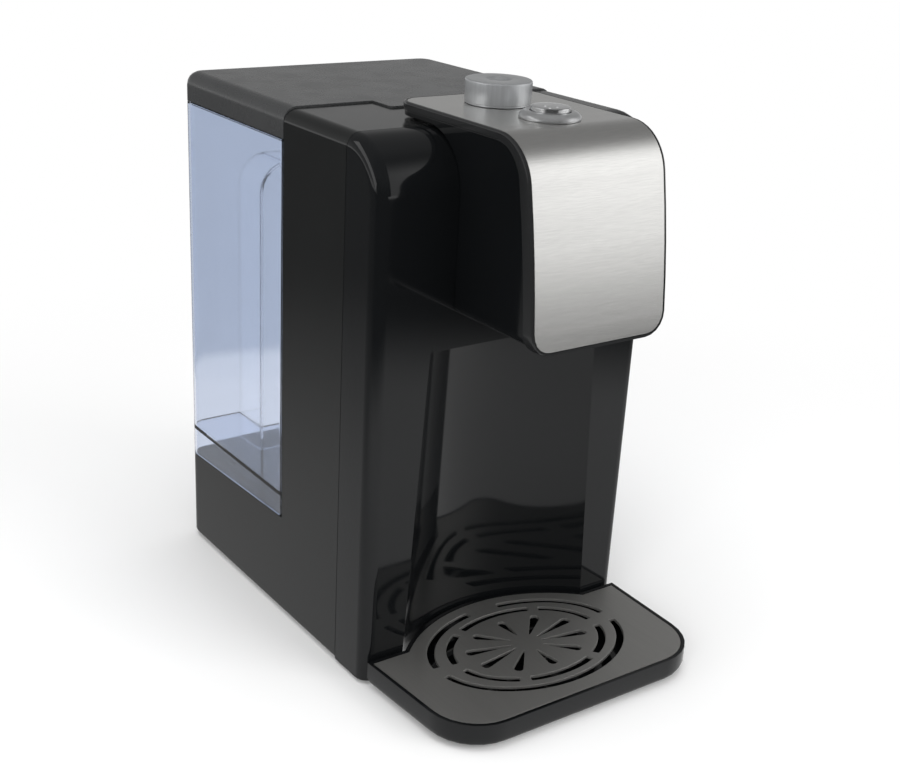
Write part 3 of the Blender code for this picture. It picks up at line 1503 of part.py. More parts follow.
def build_heater(root, metal, bracket_metal, dark):
    place = Vector((0, HEATER_Y, 0))
    shoulder = HEATER_RADIUS - HEATER_SHOULDER
    profile = [
        (0, HEATER_LOW - HOSE_PORT_LENGTH),
        (HOSE_PORT_RADIUS, HEATER_LOW - HOSE_PORT_LENGTH),
        (HOSE_PORT_RADIUS, HEATER_LOW),
        (shoulder, HEATER_LOW),
        (HEATER_RADIUS, HEATER_LOW + HEATER_SHOULDER),
        (HEATER_RADIUS, HEATER_TOP - HEATER_SHOULDER),
        (shoulder, HEATER_TOP),
        (HOSE_PORT_RADIUS, HEATER_TOP),
        (HOSE_PORT_RADIUS, HEATER_TOP + HOSE_PORT_LENGTH),
        (0, HEATER_TOP + HOSE_PORT_LENGTH),
    ]
    add("flow_heater", turned(profile, SMALL_ROUND_STEPS), metal, root, place)
    back = BAY_INSIDE - FIT
    plate_low = (-BRACKET_HALF, back - BRACKET_PLATE, CLAMP_LOW_HEIGHT - BRACKET_MARGIN)
    plate_high = (BRACKET_HALF, back, CLAMP_HIGH_HEIGHT + CLAMP_HEIGHT + BRACKET_MARGIN)
    bracket = add("heater_bracket", block(plate_low, plate_high), bracket_metal, root)
    for name, low in (("clamp_low", CLAMP_LOW_HEIGHT), ("clamp_high", CLAMP_HIGH_HEIGHT)):
        outer = rod(HEATER_RADIUS + FIT + CLAMP_WALL, low, low + CLAMP_HEIGHT)
        arm_low = (-CLAMP_HEIGHT, HEATER_Y, low)
        arm_high = (CLAMP_HEIGHT, back - BRACKET_PLATE / 2, low + CLAMP_HEIGHT)
        clamp = tool(name, outer, root, place)
        join(clamp, tool(f"{name}_arm", block(arm_low, arm_high), root))
        join(bracket, clamp)
    cut(bracket, tool("clamp_bore", rod(HEATER_RADIUS + FIT, HEATER_LOW, HEATER_TOP), root, place))
    near = HEATER_RADIUS + FIT
    profile = [
        (0, near),
        (THERMOSTAT_CAN_RADIUS, near),
        (THERMOSTAT_CAN_RADIUS, near + THERMOSTAT_CAN),
        (THERMOSTAT_RADIUS, near + THERMOSTAT_CAN),
        (THERMOSTAT_RADIUS, near + THERMOSTAT_CAN + THERMOSTAT_DEPTH),
        (0, near + THERMOSTAT_CAN + THERMOSTAT_DEPTH),
    ]
    thermostat_place = place + Vector((0, 0, THERMOSTAT_HEIGHT))
    add("thermostat", turned(profile, SMALL_ROUND_STEPS, "X"), dark, root, thermostat_place)
    fuse_place = thermostat_place - Vector((near + FUSE_RADIUS, 0, 0))
    fuse = rod(FUSE_RADIUS, -FUSE_LENGTH / 2, FUSE_LENGTH / 2, TINY_ROUND_STEPS)
    add("thermal_fuse", fuse, bracket_metal, root, fuse_place)


def build_hoses(root, material):
    socket_port = Vector((SOCKET_RADIUS + SOCKET_PORT_LENGTH + FIT, SOCKET_Y, SOCKET_PORT_HEIGHT))
    pump_inlet = Vector((PUMP_JOINT_X + PUMP_LENGTH + PUMP_PORT_LENGTH + FIT, PUMP_Y, PUMP_HEIGHT))
    sideways = Vector((INLET_HOSE_PULL, 0, 0))
    hose("inlet_hose", socket_port, sideways, pump_inlet, -sideways, material, root)
    pump_outlet_y = PUMP_Y - PUMP_RADIUS - PUMP_PORT_LENGTH - FIT
    pump_outlet = Vector((PUMP_JOINT_X + PUMP_LENGTH / 2, pump_outlet_y, PUMP_HEIGHT))
    heater_inlet = Vector((0, HEATER_Y, HEATER_LOW - HOSE_PORT_LENGTH - FIT))
    forward = Vector((0, -PUMP_HOSE_PULL, 0))
    hose("pump_hose", pump_outlet, forward, heater_inlet, Vector((0, 0, HEATER_HOSE_PULL)), material, root)
    heater_outlet = Vector((0, HEATER_Y, HEATER_TOP + HOSE_PORT_LENGTH + FIT))
    chamber_inlet = Vector((0, SPOUT_Y, CHAMBER_PORT_TOP + FIT))
    upward = Vector((0, 0, OUTLET_HOSE_PULL))
    hose("outlet_hose", heater_outlet, upward, chamber_inlet, -upward, material, root)


def build_power_electronics(root, board, dark, yellowish):
    near = POWER_BOARD_X
    far = near + BOARD_THICKNESS
    low = (near, POWER_BOARD_FRONT, POWER_BOARD_LOW)
    high = (far, POWER_BOARD_BACK, POWER_BOARD_TOP)
    add("power_board", block(low, high), board, root)
    seat = far + FIT
    low = (seat, RELAY_FRONT, RELAY_LOW)
    high = (seat + RELAY_DEPTH, RELAY_BACK, RELAY_TOP)
    add("power_relay", block(low, high, BLOCK_EDGE), dark, root)
    low = (seat, TRANSFORMER_FRONT, TRANSFORMER_LOW)
    high = (seat + TRANSFORMER_DEPTH, TRANSFORMER_BACK, TRANSFORMER_TOP)
    add("transformer", block(low, high, BLOCK_EDGE), yellowish, root)


# The whole machine


def build_column(root, tray):
    casing = casing_plastic()
    build_housing(root, casing)
    build_fascia(root, fascia_plastic())
    build_bottom_cover(root, casing)
    build_feet(root, tray, rubber())


def build_head(root, knob_body, button_body):
    gloss = fascia_plastic()
    bright = bright_metal()
    dark = dark_component()
    steel = spring_steel()
    build_head_shell(root, gloss)
    build_head_frame(root, gloss)
    build_steel_panel(root, brushed_steel())
    build_knob(knob_body, silver_plastic())
    build_knob_spindle(knob_body, bright)
    build_selector(root, dark)
    build_button_collar(root, bright)
    build_button(button_body, bright, white_plastic())
    build_button_spring(root, steel)
    build_microswitch(root, dark)
    build_control_board(root, circuit_board())
    build_spout(root, dark, white_plastic())


def build_inside(root):
    dark = dark_component()
    white = white_plastic()
    build_socket(root, white)
    build_cord_gland(root, rubber())
    build_pump(root, heater_metal(), white)
    build_heater(root, heater_metal(), spring_steel(), dark)
    build_hoses(root, silicone())
    build_power_electronics(root, circuit_board(), dark, white)


def main():
    clear_scene()
    machine = carrier("machine", ORIGIN)
    machine.location = Vector((0, (TRAY_REACH - REACH_BACK) / 2, FOOT_HEIGHT))
    knob_body = carrier("knob_axis", Vector((0, KNOB_Y, HEAD_TOP)), machine)
    button_body = carrier("button_axis", Vector((0, BUTTON_Y, HEAD_TOP)), machine)
    tank_body = carrier("tank_lift", Vector((0, SOCKET_Y, DECK_REAR_HEIGHT)), machine)
    lid_body = carrier("lid_lift", Vector((0, SOCKET_Y, LID_LOW)), tank_body)
    poppet_body = carrier("poppet_axis", Vector((0, SOCKET_Y, SEAT_RING_TOP)), tank_body)
    tray_body = carrier("tray_slide", Vector((0, -TRAY_GAP, 0)), machine)
    plate_body = carrier("plate_lift", Vector((0, RING_Y, PLATE_UNDER)), tray_body)
    build_column(machine, tray_body)
    build_head(machine, knob_body, button_body)
    build_inside(machine)
    build_tank(tank_body, tank_plastic())
    build_tank_lid(lid_body, lid_plastic())
    build_valve(machine, tank_body, poppet_body, dark_component(), rubber(), spring_steel())
    build_drip_tray(tray_body, fascia_plastic())
    build_drip_plate(plate_body, plate_metal())


main()
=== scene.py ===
import math

import bmesh
import bpy
from mathutils import Matrix, Vector
from mathutils.geometry import tessellate_polygon


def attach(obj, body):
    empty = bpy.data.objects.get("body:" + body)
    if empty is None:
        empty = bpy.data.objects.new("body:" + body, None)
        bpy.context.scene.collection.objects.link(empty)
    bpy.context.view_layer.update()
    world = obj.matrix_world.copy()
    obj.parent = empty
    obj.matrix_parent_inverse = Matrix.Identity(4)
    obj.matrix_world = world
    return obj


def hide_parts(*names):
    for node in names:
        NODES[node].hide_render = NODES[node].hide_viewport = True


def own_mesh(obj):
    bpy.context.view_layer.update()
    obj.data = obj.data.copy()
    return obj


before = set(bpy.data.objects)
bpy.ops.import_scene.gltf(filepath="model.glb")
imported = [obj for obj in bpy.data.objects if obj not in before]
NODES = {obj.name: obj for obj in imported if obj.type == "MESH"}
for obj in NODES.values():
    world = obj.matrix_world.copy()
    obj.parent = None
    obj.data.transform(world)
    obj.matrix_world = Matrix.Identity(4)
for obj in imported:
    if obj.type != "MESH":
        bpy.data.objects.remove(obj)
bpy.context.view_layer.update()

# Where the machine's own zero lies in the frame; all lengths here are in metres
MACHINE = Vector((0.0, -0.06155, 0.002))

# The machine's sizes that several pieces share, measured from its own zero
HEAD_TOP = 0.2768
KNOB_Y = 0.0266
BUTTON_Y = -0.0120
CAP_TOP = HEAD_TOP + 0.0056
CAP_RADIUS = 0.0089
CAP_EDGE = 0.0004
CAP_CROWN = 0.00015
TRAY_HEIGHT = 0.0126
ALCOVE_SETBACK = 0.064
ALCOVE_HEIGHT = 0.170
ALCOVE_FOOT_RADIUS = math.hypot(0.0595, ALCOVE_SETBACK)
ALCOVE_TOP_RADIUS = math.hypot(0.0508, ALCOVE_SETBACK)

# Edges that turn more sharply than this stay hard
HARD_ANGLE = math.radians(40.0)

# What shows through the tank above the table's far edge, in linear light
WALL_BLUE = (0.64, 0.68, 0.74)


# Node helpers

# Noise from 0 to 1 spends most of its area between these two
NOISE_LOW = 0.3
NOISE_HIGH = 0.7


def new_material(name):
    material = bpy.data.materials.new(name)
    material.use_nodes = True
    tree = material.node_tree
    tree.nodes.clear()
    output = tree.nodes.new("ShaderNodeOutputMaterial")
    shader = tree.nodes.new("ShaderNodeBsdfPrincipled")
    tree.links.new(shader.outputs["BSDF"], output.inputs["Surface"])
    return material, tree, shader


def stretched_place(tree, scale):
    """Object coordinates stretched by a scale along each axis, in repeats per metre."""
    place = tree.nodes.new("ShaderNodeTexCoord")
    mapping = tree.nodes.new("ShaderNodeMapping")
    mapping.inputs["Scale"].default_value = scale
    tree.links.new(place.outputs["Object"], mapping.inputs["Vector"])
    return mapping.outputs["Vector"]


def noise(tree, scale, detail=2.0, rough=0.5):
    """Noise from 0 to 1 whose grains are one part in scale of a metre."""
    if not hasattr(scale, "__len__"):
        scale = (scale, scale, scale)
    texture = tree.nodes.new("ShaderNodeTexNoise")
    texture.inputs["Scale"].default_value = 1.0
    texture.inputs["Detail"].default_value = detail
    texture.inputs["Roughness"].default_value = rough
    tree.links.new(stretched_place(tree, scale), texture.inputs["Vector"])
    return texture.outputs["Fac"]


def ranged(tree, value, start, end, low, high, easing="LINEAR"):
    """Maps a value that goes from start to end to one from low to high, and holds it outside them."""
    node = tree.nodes.new("ShaderNodeMapRange")
    node.interpolation_type = easing
    for name, number in (("From Min", start), ("From Max", end), ("To Min", low), ("To Max", high)):
        node.inputs[name].default_value = number
    tree.links.new(value, node.inputs["Value"])
    return node.outputs["Result"]


def eased(tree, value, start, end, low, high):
    return ranged(tree, value, start, end, low, high, "SMOOTHSTEP")


def spread(tree, value, low, high):
    """Maps the middle of a noise's range to a range of its own."""
    return ranged(tree, value, NOISE_LOW, NOISE_HIGH, low, high)


def two_tones(tree, value, dark, light):
    ramp = tree.nodes.new("ShaderNodeValToRGB")
    for element, place, colour in zip(ramp.color_ramp.elements, (NOISE_LOW, NOISE_HIGH), (dark, light)):
        element.position = place
        element.color = (*colour, 1)
    tree.links.new(value, ramp.inputs["Fac"])
    return ramp.outputs["Color"]


def bumped(tree, shader, heights):
    """Stacks bumps of (height value, depth in metres) on the shader's normal."""
    last = None
    for value, depth in heights:
        bump = tree.nodes.new("ShaderNodeBump")
        bump.inputs["Strength"].default_value = 1.0
        bump.inputs["Distance"].default_value = depth
        tree.links.new(value, bump.inputs["Height"])
        if last is not None:
            tree.links.new(last, bump.inputs["Normal"])
        last = bump.outputs["Normal"]
    tree.links.new(last, shader.inputs["Normal"])


def shaded(colour, share):
    return tuple(channel * share for channel in colour)


# Materials

def moulded(name, colour, roughness, grain, depth, drift=0.08, gloss_drift=0.03, wave=0.0, metallic=0.0):
    """Moulded plastic or cast metal: a fine grain, and a drift in tone and gloss over centimetres."""
    material, tree, shader = new_material(name)
    cloud = noise(tree, 22.0, 4.0)
    fine = noise(tree, grain, 3.0)
    tree.links.new(
        two_tones(tree, cloud, shaded(colour, 1 - drift), shaded(colour, 1 + drift)),
        shader.inputs["Base Color"],
    )
    tree.links.new(
        spread(tree, noise(tree, 60.0, 5.0), roughness - gloss_drift, roughness + gloss_drift),
        shader.inputs["Roughness"],
    )
    shader.inputs["IOR"].default_value = 1.5
    shader.inputs["Metallic"].default_value = metallic
    heights = [(fine, depth)]
    if wave:
        heights.append((noise(tree, 26.0, 1.0), wave))
    bumped(tree, shader, heights)
    return material


def brushed(
    name, colour, roughness, stretch, depth, drift=0.06, gloss_drift=0.03, across=0.0, metallic=1.0
):
    """Brushed metal: hair lines in tone, gloss and height, along the axis with the least stretch.

    A share above zero for across spreads reflections more across the lines, which then run along x.
    """
    material, tree, shader = new_material(name)
    lines = noise(tree, stretch, 4.0, 0.65)
    cloud = noise(tree, tuple(s / 12 for s in stretch), 3.0)
    tree.links.new(
        two_tones(tree, lines, shaded(colour, 1 - drift), shaded(colour, 1 + drift)),
        shader.inputs["Base Color"],
    )
    tree.links.new(
        spread(tree, cloud, roughness - gloss_drift, roughness + gloss_drift), shader.inputs["Roughness"]
    )
    shader.inputs["Metallic"].default_value = metallic
    if across:
        tangent = tree.nodes.new("ShaderNodeVectorMath")
        tangent.operation = "CROSS_PRODUCT"
        tangent.inputs[1].default_value = (1, 0, 0)
        tree.links.new(tree.nodes.new("ShaderNodeNewGeometry").outputs["Normal"], tangent.inputs[0])
        tree.links.new(tangent.outputs["Vector"], shader.inputs["Tangent"])
        shader.inputs["Anisotropic"].default_value = across
    bumped(tree, shader, [(lines, depth)])
    return material


def painted_shade_by_slope(material, upright, level):
    """Paints light and shade into a finish's colour: lighter on upright faces and darker on level ones."""
    tree = material.node_tree
    socket = tree.nodes["Principled BSDF"].inputs["Base Color"]
    source = socket.links[0].from_socket
    axes = tree.nodes.new("ShaderNodeSeparateXYZ")
    tree.links.new(tree.nodes.new("ShaderNodeNewGeometry").outputs["Normal"], axes.inputs["Vector"])
    # Painted shade: the colour's brightness follows how upright the face is
    tone = tree.nodes.new("ShaderNodeHueSaturation")
    tree.links.new(eased(tree, axes.outputs["Z"], 0.3, 0.9, upright, level), tone.inputs["Value"])
    tree.links.new(source, tone.inputs["Color"])
    tree.links.new(tone.outputs["Color"], socket)


def clear_plastic(name, colour, roughness=0.04):
    """Clear tinted plastic with slightly uneven walls."""
    material, tree, shader = new_material(name)
    cloud = noise(tree, 30.0, 3.0)
    tree.links.new(
        two_tones(tree, cloud, shaded(colour, 0.985), colour), shader.inputs["Base Color"]
    )
    tree.links.new(
        spread(tree, noise(tree, 80.0, 4.0), roughness * 0.6, roughness * 1.4),
        shader.inputs["Roughness"],
    )
    shader.inputs["Transmission Weight"].default_value = 1.0
    shader.inputs["IOR"].default_value = 1.49
    bumped(tree, shader, [(noise(tree, 34.0, 1.0), 6e-5)])
    return material


def make_materials():
    made = {
        "casing_plastic": moulded(
            "casing_satin_black", (0.0065, 0.007, 0.007), 0.14, 1500, 8e-7, gloss_drift=0.02
        ),
        "fascia_plastic": moulded(
            "fascia_gloss_black", (0.0045, 0.005, 0.0055), 0.07, 900, 3e-7, gloss_drift=0.015, wave=8e-6
        ),
        "lid_plastic": moulded("lid_satin_grey", (0.038, 0.039, 0.040), 0.27, 1500, 1e-6),
        "tank_plastic": clear_plastic("tank_clear_lavender", (0.81, 0.855, 0.95)),
        "brushed_steel": brushed(
            "steel_brushed_across", (0.86, 0.855, 0.835), 0.25,
            (140.0, 2300.0, 2300.0), 9e-7, drift=0.05, gloss_drift=0.012, across=0.7,
        ),
        "silver_plastic": brushed(
            "knob_satin_silver", (0.43, 0.44, 0.45), 0.3,
            (900.0, 900.0, 30.0), 1.5e-6, drift=0.07, metallic=0.65,
        ),
        "bright_metal": brushed("cap_bright_metal", (0.84, 0.845, 0.85), 0.24, (300.0, 300.0, 20.0), 2e-7),
        "collar_metal": brushed(
            "collar_satin_metal", (0.49, 0.495, 0.5), 0.3, (500.0, 500.0, 500.0), 4e-7, metallic=0.8
        ),
        "frame_plastic": moulded("frame_satin_black", (0.014, 0.0145, 0.015), 0.15, 1300, 1e-6),
        "plate_metal": brushed(
            "plate_dark_metal", (0.46, 0.455, 0.44), 0.50,
            (1200.0, 30.0, 1200.0), 1e-6, drift=0.04, metallic=0.88,
        ),
        "rubber": moulded("foot_rubber", (0.025, 0.025, 0.026), 0.75, 1200, 1.2e-5),
        "silicone": moulded("hose_silicone", (0.70, 0.70, 0.67), 0.45, 900, 6e-6),
        "white_plastic": moulded("inner_white_plastic", (0.72, 0.72, 0.69), 0.45, 1300, 6e-6),
        "heater_metal": moulded("cast_aluminium", (0.60, 0.61, 0.62), 0.42, 700, 2.5e-5, metallic=1.0),
        "circuit_board": moulded("board_green", (0.02, 0.17, 0.07), 0.35, 600, 8e-6, drift=0.2),
        "dark_component": moulded("component_black", (0.022, 0.022, 0.024), 0.42, 1400, 8e-6),
        "mark_finish": moulded("mark_light_grey", (0.6, 0.61, 0.62), 0.35, 2500, 1e-6),
        "spring_steel": brushed("plain_steel", (0.60, 0.60, 0.60), 0.25, (300.0, 300.0, 300.0), 2e-6),
    }
    # Painted light and shade on the knob: its sides lighter and its top darker than its own finish
    painted_shade_by_slope(made["silver_plastic"], 1.16, 0.87)
    return made


# Which slot each CAD node takes its finish from
SLOT_NODES = {
    "casing_plastic": ("housing", "bottom_cover"),
    "fascia_plastic": ("fascia", "head_shell", "head_frame", "drip_tray"),
    "lid_plastic": ("tank_lid",),
    "tank_plastic": ("tank",),
    "brushed_steel": ("steel_panel",),
    "silver_plastic": ("knob",),
    "bright_metal": ("knob_spindle", "button_collar", "button_cap"),
    "plate_metal": ("drip_plate",),
    "rubber": (
        "foot_front_left", "foot_front_right", "foot_rear_left", "foot_rear_right",
        "tray_foot_left", "tray_foot_right", "cord_gland", "socket_seal", "valve_washer",
    ),
    "silicone": ("inlet_hose", "pump_hose", "outlet_hose"),
    "white_plastic": (
        "button_stem", "tank_socket", "pump_head", "outlet_chamber", "tank_filter", "transformer",
    ),
    "heater_metal": ("pump_motor", "flow_heater"),
    "circuit_board": ("control_board", "power_board"),
    "dark_component": (
        "selector_body", "microswitch", "spout_nozzle", "valve_housing", "valve_poppet",
        "thermostat", "thermal_fuse", "power_relay",
    ),
    "spring_steel": ("heater_bracket", "button_spring", "valve_spring"),
}


# CAD nodes: softened edges and smooth shading, with the vertices as they are

def soften(piece, width):
    """Smooth shading, flat faces joined, and edges rounded to a width, all by modifiers."""
    mesh = piece.data
    if mesh.has_custom_normals:
        mesh.attributes.remove(mesh.attributes["custom_normal"])
    mesh.polygons.foreach_set("use_smooth", [True] * len(mesh.polygons))
    weld = piece.modifiers.new("weld", "WELD")
    weld.merge_threshold = 0.00001
    flat = piece.modifiers.new("flat_faces", "DECIMATE")
    flat.decimate_type = "DISSOLVE"
    flat.angle_limit = math.radians(0.4)
    if width:
        bevel = piece.modifiers.new("soft_edges", "BEVEL")
        bevel.width = width
        bevel.segments = 2
        bevel.limit_method = "ANGLE"
        bevel.angle_limit = math.radians(34.0)
        bevel.miter_outer = "MITER_ARC"
    split = piece.modifiers.new("hard_edges", "EDGE_SPLIT")
    split.split_angle = HARD_ANGLE
    even = piece.modifiers.new("even_shading", "WEIGHTED_NORMAL")
    even.mode = "FACE_AREA"
    even.weight = 60
    even.keep_sharp = True


# Nodes whose finish differs from the rest of their slot
OTHER_FINISH = {"head_frame": "frame_plastic"}

# How wide each visible node's softened edges are; the others' edges stay as they are
BEVELS = {
    "housing": 0.0003,
    "fascia": 0.00015,
    "bottom_cover": 0.0004,
    "head_shell": 0.0004,
    "head_frame": 0.0008,
    "steel_panel": 0.0005,
    "drip_tray": 0.0004,
    "tank_lid": 0.0004,
    "tank": 0.0006,
    "spout_nozzle": 0.0003,
    "cord_gland": 0.0003,
}


def dress_nodes(materials):
    for slot, names in SLOT_NODES.items():
        for name in names:
            piece = NODES[name]
            piece.data.materials.clear()
            piece.data.materials.append(materials[OTHER_FINISH.get(name, slot)])
            piece.data.polygons.foreach_set("material_index", [0] * len(piece.data.polygons))
            soften(piece, BEVELS.get(name, 0.0))


def smooth_alcove(mesh):
    """Gives the alcove's facets the exact normals of the cone that they stand for."""
    fall = (ALCOVE_FOOT_RADIUS - ALCOVE_TOP_RADIUS) / ALCOVE_HEIGHT
    near_wall = 0.0008
    normals = [Vector(corner.vector) for corner in mesh.corner_normals]
    for face in mesh.polygons:
        centre = face.center - MACHINE
        out = Vector((centre.x, centre.y + ALCOVE_SETBACK, 0))
        wall = ALCOVE_FOOT_RADIUS - fall * centre.z
        faces_in = face.normal.dot(out.normalized()) <= -0.95
        if abs(out.length - wall) > near_wall or not faces_in:
            continue
        for corner in face.loop_indices:
            place = mesh.vertices[mesh.loops[corner].vertex_index].co - MACHINE
            normals[corner] = Vector((-place.x, -place.y - ALCOVE_SETBACK, -fall * wall)).normalized()
    mesh.normals_split_custom_set(normals)


def copied(name, ending):
    source = NODES[name]
    piece = bpy.data.objects.new(name + ending, source.data.copy())
    bpy.context.scene.collection.objects.link(piece)
    piece.matrix_world = source.matrix_world.copy()
    return piece


def build_lowered(name, drop=0.0009, start=0.245, end=0.272):
    """A copy of a front piece with its top slightly below the lid's, so that the lid's front edge shows.

    It is lowered by the drop at the height end, by nothing at the height start, and evenly between.
    """
    piece = copied(name, "_lowered")
    for vertex in piece.data.vertices:
        share = max(0.0, min(1.0, (vertex.co.z - start) / (end - start)))
        vertex.co.z -= drop * share * share * (3 - 2 * share)
    soften(piece, BEVELS[name])
    bpy.context.view_layer.update()
    evaluated = piece.evaluated_get(bpy.context.evaluated_depsgraph_get())
    settled = bpy.data.meshes.new_from_object(evaluated)
    piece.modifiers.clear()
    piece.data = settled
    if name == "fascia":
        smooth_alcove(settled)
    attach(piece, "machine")
    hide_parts(name)


def build_spring(name, held_low):
    """A copy of a spring with a mesh of its own, held to the machine or to the tank; the CAD's own spring
    is hidden.
    """
    piece = copied(name, "_shortening")
    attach(piece, "machine" if held_low else "water_tank")
    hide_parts(name)
    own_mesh(piece)


# Finer pieces that stand for CAD nodes

def finished(name, form, material, body, replaced, place):
    """Makes a form into a piece on a body, in place of the replaced nodes, if any."""
    mesh = bpy.data.meshes.new(name)
    bmesh.ops.recalc_face_normals(form, faces=form.faces)
    form.to_mesh(mesh)
    form.free()
    piece = bpy.data.objects.new(name, mesh)
    bpy.context.scene.collection.objects.link(piece)
    piece.location = MACHINE + Vector(place)
    mesh.materials.append(material)
    mesh.polygons.foreach_set("use_smooth", [True] * len(mesh.polygons))
    split = piece.modifiers.new("hard_edges", "EDGE_SPLIT")
    split.split_angle = HARD_ANGLE
    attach(piece, body)
    if replaced:
        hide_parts(*replaced)
    return piece


def turned(profile, steps=96):
    """A profile (radius, height) turned about the upright axis."""
    form = bmesh.new()
    rings = []
    for radius, height in profile:
        count = steps if radius > 0 else 1
        rings.append([
            form.verts.new((
                radius * math.cos(math.tau * step / steps),
                radius * math.sin(math.tau * step / steps),
                height,
            ))
            for step in range(count)
        ])
    for first, second in zip(rings, rings[1:]):
        if len(first) == len(second) == 1:
            continue
        for step in range(steps):
            following = (step + 1) % steps
            corners = [first[step % len(first)], first[following % len(first)]]
            corners += [second[following % len(second)], second[step % len(second)]]
            form.faces.new(list(dict.fromkeys(corners)))
    return form


def arc(centre, radius, start, end, steps):
    """Points (radius, height) along an arc, from start to end in degrees above level."""
    points = []
    for step in range(steps + 1):
        turn = math.radians(start + (end - start) * step / steps)
        points.append((centre[0] + radius * math.cos(turn), centre[1] + radius * math.sin(turn)))
    return points


def build_knob(materials):
    low = HEAD_TOP + 0.0011
    top = low + 0.0102
    radius = 0.01575
    edge = 0.0009
    low_edge = 0.0003
    roof = 0.0024
    hollow = radius - 0.0022
    dish = 0.0062
    dish_radius = 0.0095
    dish_rim = 0.00012
    drop = dish_radius - math.sqrt(dish_radius ** 2 - dish ** 2)
    foot = HEAD_TOP + 0.0003
    ring = radius - 0.0004
    profile = [(0, top - roof), (hollow, top - roof), (hollow, foot), (ring, foot), (ring, low)]
    profile += arc((radius - low_edge, low + low_edge), low_edge, -90, 0, 3)
    profile += arc((radius - edge, top - edge), edge, 0, 90, 8)
    profile += [(dish + 0.0004, top), (dish + 0.0001, top - 0.00004)]
    for step in range(1, 9):
        reach = dish * (1 - step / 8)
        rise = dish_radius - math.sqrt(dish_radius ** 2 - reach ** 2)
        profile.append((reach, top - drop + rise - dish_rim))
    return finished(
        "knob_turned", turned(profile, 120), materials["silver_plastic"], "knob",
        ["knob"], (0, KNOB_Y, 0),
    )


def build_button(materials):
    low = CAP_TOP - 0.0068
    under_roof = CAP_TOP - 0.0014
    hollow = CAP_RADIUS - 0.0012
    flat = CAP_RADIUS - CAP_EDGE
    profile = [(0, under_roof), (hollow, under_roof), (hollow, low), (CAP_RADIUS, low)]
    profile += arc((flat, CAP_TOP - CAP_EDGE - CAP_CROWN), CAP_EDGE, 0, 78, 7)
    for step in range(1, 8):
        reach = flat * (1 - step / 7)
        profile.append((reach, CAP_TOP - CAP_CROWN * (reach / flat) ** 2))
    return finished(
        "button_cap_turned", turned(profile), materials["bright_metal"], "button",
        ["button_cap"], (0, BUTTON_Y, 0),
    )


def build_dots(materials):
    """Three tiny raised dots on the button, where the photograph shows light specks."""
    clearance = 0.00001
    form = bmesh.new()
    for x, y in ((-0.0035, -0.0004), (-0.0047, -0.0049), (0.0, -0.0044)):
        reach = math.hypot(x, y) / (CAP_RADIUS - CAP_EDGE)
        base = CAP_TOP - CAP_CROWN * reach ** 2 + clearance
        dot = turned([(0, base), (0.00055, base), (0.00045, base + 0.00008), (0, base + 0.00012)], 16)
        bmesh.ops.translate(dot, verts=dot.verts, vec=(x, y, 0))
        mesh = bpy.data.meshes.new("dot")
        dot.to_mesh(mesh)
        dot.free()
        form.from_mesh(mesh)
        bpy.data.meshes.remove(mesh)
    return finished(
        "button_dots", form, materials["mark_finish"], "button", [], (0, BUTTON_Y, 0)
    )


def build_collar(materials):
    base = HEAD_TOP + 0.0001
    bore = CAP_RADIUS + 0.0005
    bore_edge = 0.0005
    neck = bore + 0.001
    outer = 0.0142
    rise = 0.0034
    lip = 0.0005
    slope_width = outer - bore - 0.0011
    floor = HEAD_TOP - 0.006
    under = floor - 0.0012
    stem_hole = 0.0035
    profile = [(stem_hole, floor), (stem_hole, under), (neck, under), (neck, base), (outer - 0.0002, base)]
    for step in range(13):
        turn = math.pi / 2 * step / 12
        radius = outer - slope_width * (1 - math.cos(turn))
        profile.append((radius, base + lip + (rise - lip) * math.sin(turn)))
    profile += arc((bore + bore_edge, base + rise - bore_edge), bore_edge, 90, 180, 4)
    profile += [(bore, floor), (stem_hole, floor)]
    return finished(
        "button_collar_turned", turned(profile), materials["collar_metal"], "machine",
        ["button_collar"], (0, BUTTON_Y, 0),
    )


# Drip plate with smooth slots

# The two oval rings of slots: half width, half depth, and each slot's start and end in degrees
RING_Y = -0.0269
RING_SLOT_WIDTH = 0.0038
OUTER_RING = (0.0541, 0.0382, ((187, 353), (6, 80), (100, 174)))
INNER_RING = (0.0435, 0.0306, ((189, 236), (244, 296), (304, 351), (4, 52), (60, 120), (128, 176)))

# The drop-shaped slots end on an oval of this half width and half depth
DROP_RING = (0.0352, 0.0232)
DROP_COUNT = 10


def tray_outline(inset, corner_steps=16, tongue_steps=48):
    """The tray's rim from above, moved inwards: round front corners, and a round tongue at the back."""
    taper = ALCOVE_TOP_RADIUS - ALCOVE_FOOT_RADIUS
    radius_at_tray = ALCOVE_FOOT_RADIUS + taper * TRAY_HEIGHT / ALCOVE_HEIGHT
    back = -0.0015 - inset
    front = inset - 0.0777
    back_half = 0.0808 - inset
    front_half = 0.0774 - inset
    corner = 0.027 - inset
    points = [Vector((-back_half, back))]
    left, right = (-front_half, front), (front_half, front)
    points += round_corner((-back_half, back), left, right, corner, corner_steps)
    points += round_corner(left, right, (back_half, back), corner, corner_steps)
    points.append(Vector((back_half, back)))
    radius = radius_at_tray - 0.0015 - inset
    half_angle = math.acos((ALCOVE_SETBACK + back) / radius)
    for step in range(tongue_steps + 1):
        turn = half_angle * (1 - 2 * step / tongue_steps)
        points.append(Vector((radius * math.sin(turn), radius * math.cos(turn) - ALCOVE_SETBACK)))
    return points


def round_corner(before, here, after, radius, steps):
    """Points along the arc that rounds a corner."""
    here = Vector(here)
    first = (Vector(before) - here).normalized()
    second = (Vector(after) - here).normalized()
    half = first.angle(second) / 2
    centre = here + (first + second).normalized() * radius / math.sin(half)
    start = here + first * radius / math.tan(half) - centre
    end = here + second * radius / math.tan(half) - centre
    sweep = start.angle_signed(end)
    points = []
    for step in range(steps + 1):
        turn = -sweep * step / steps
        points.append(centre + Vector((
            start.x * math.cos(turn) - start.y * math.sin(turn),
            start.x * math.sin(turn) + start.y * math.cos(turn),
        )))
    return points


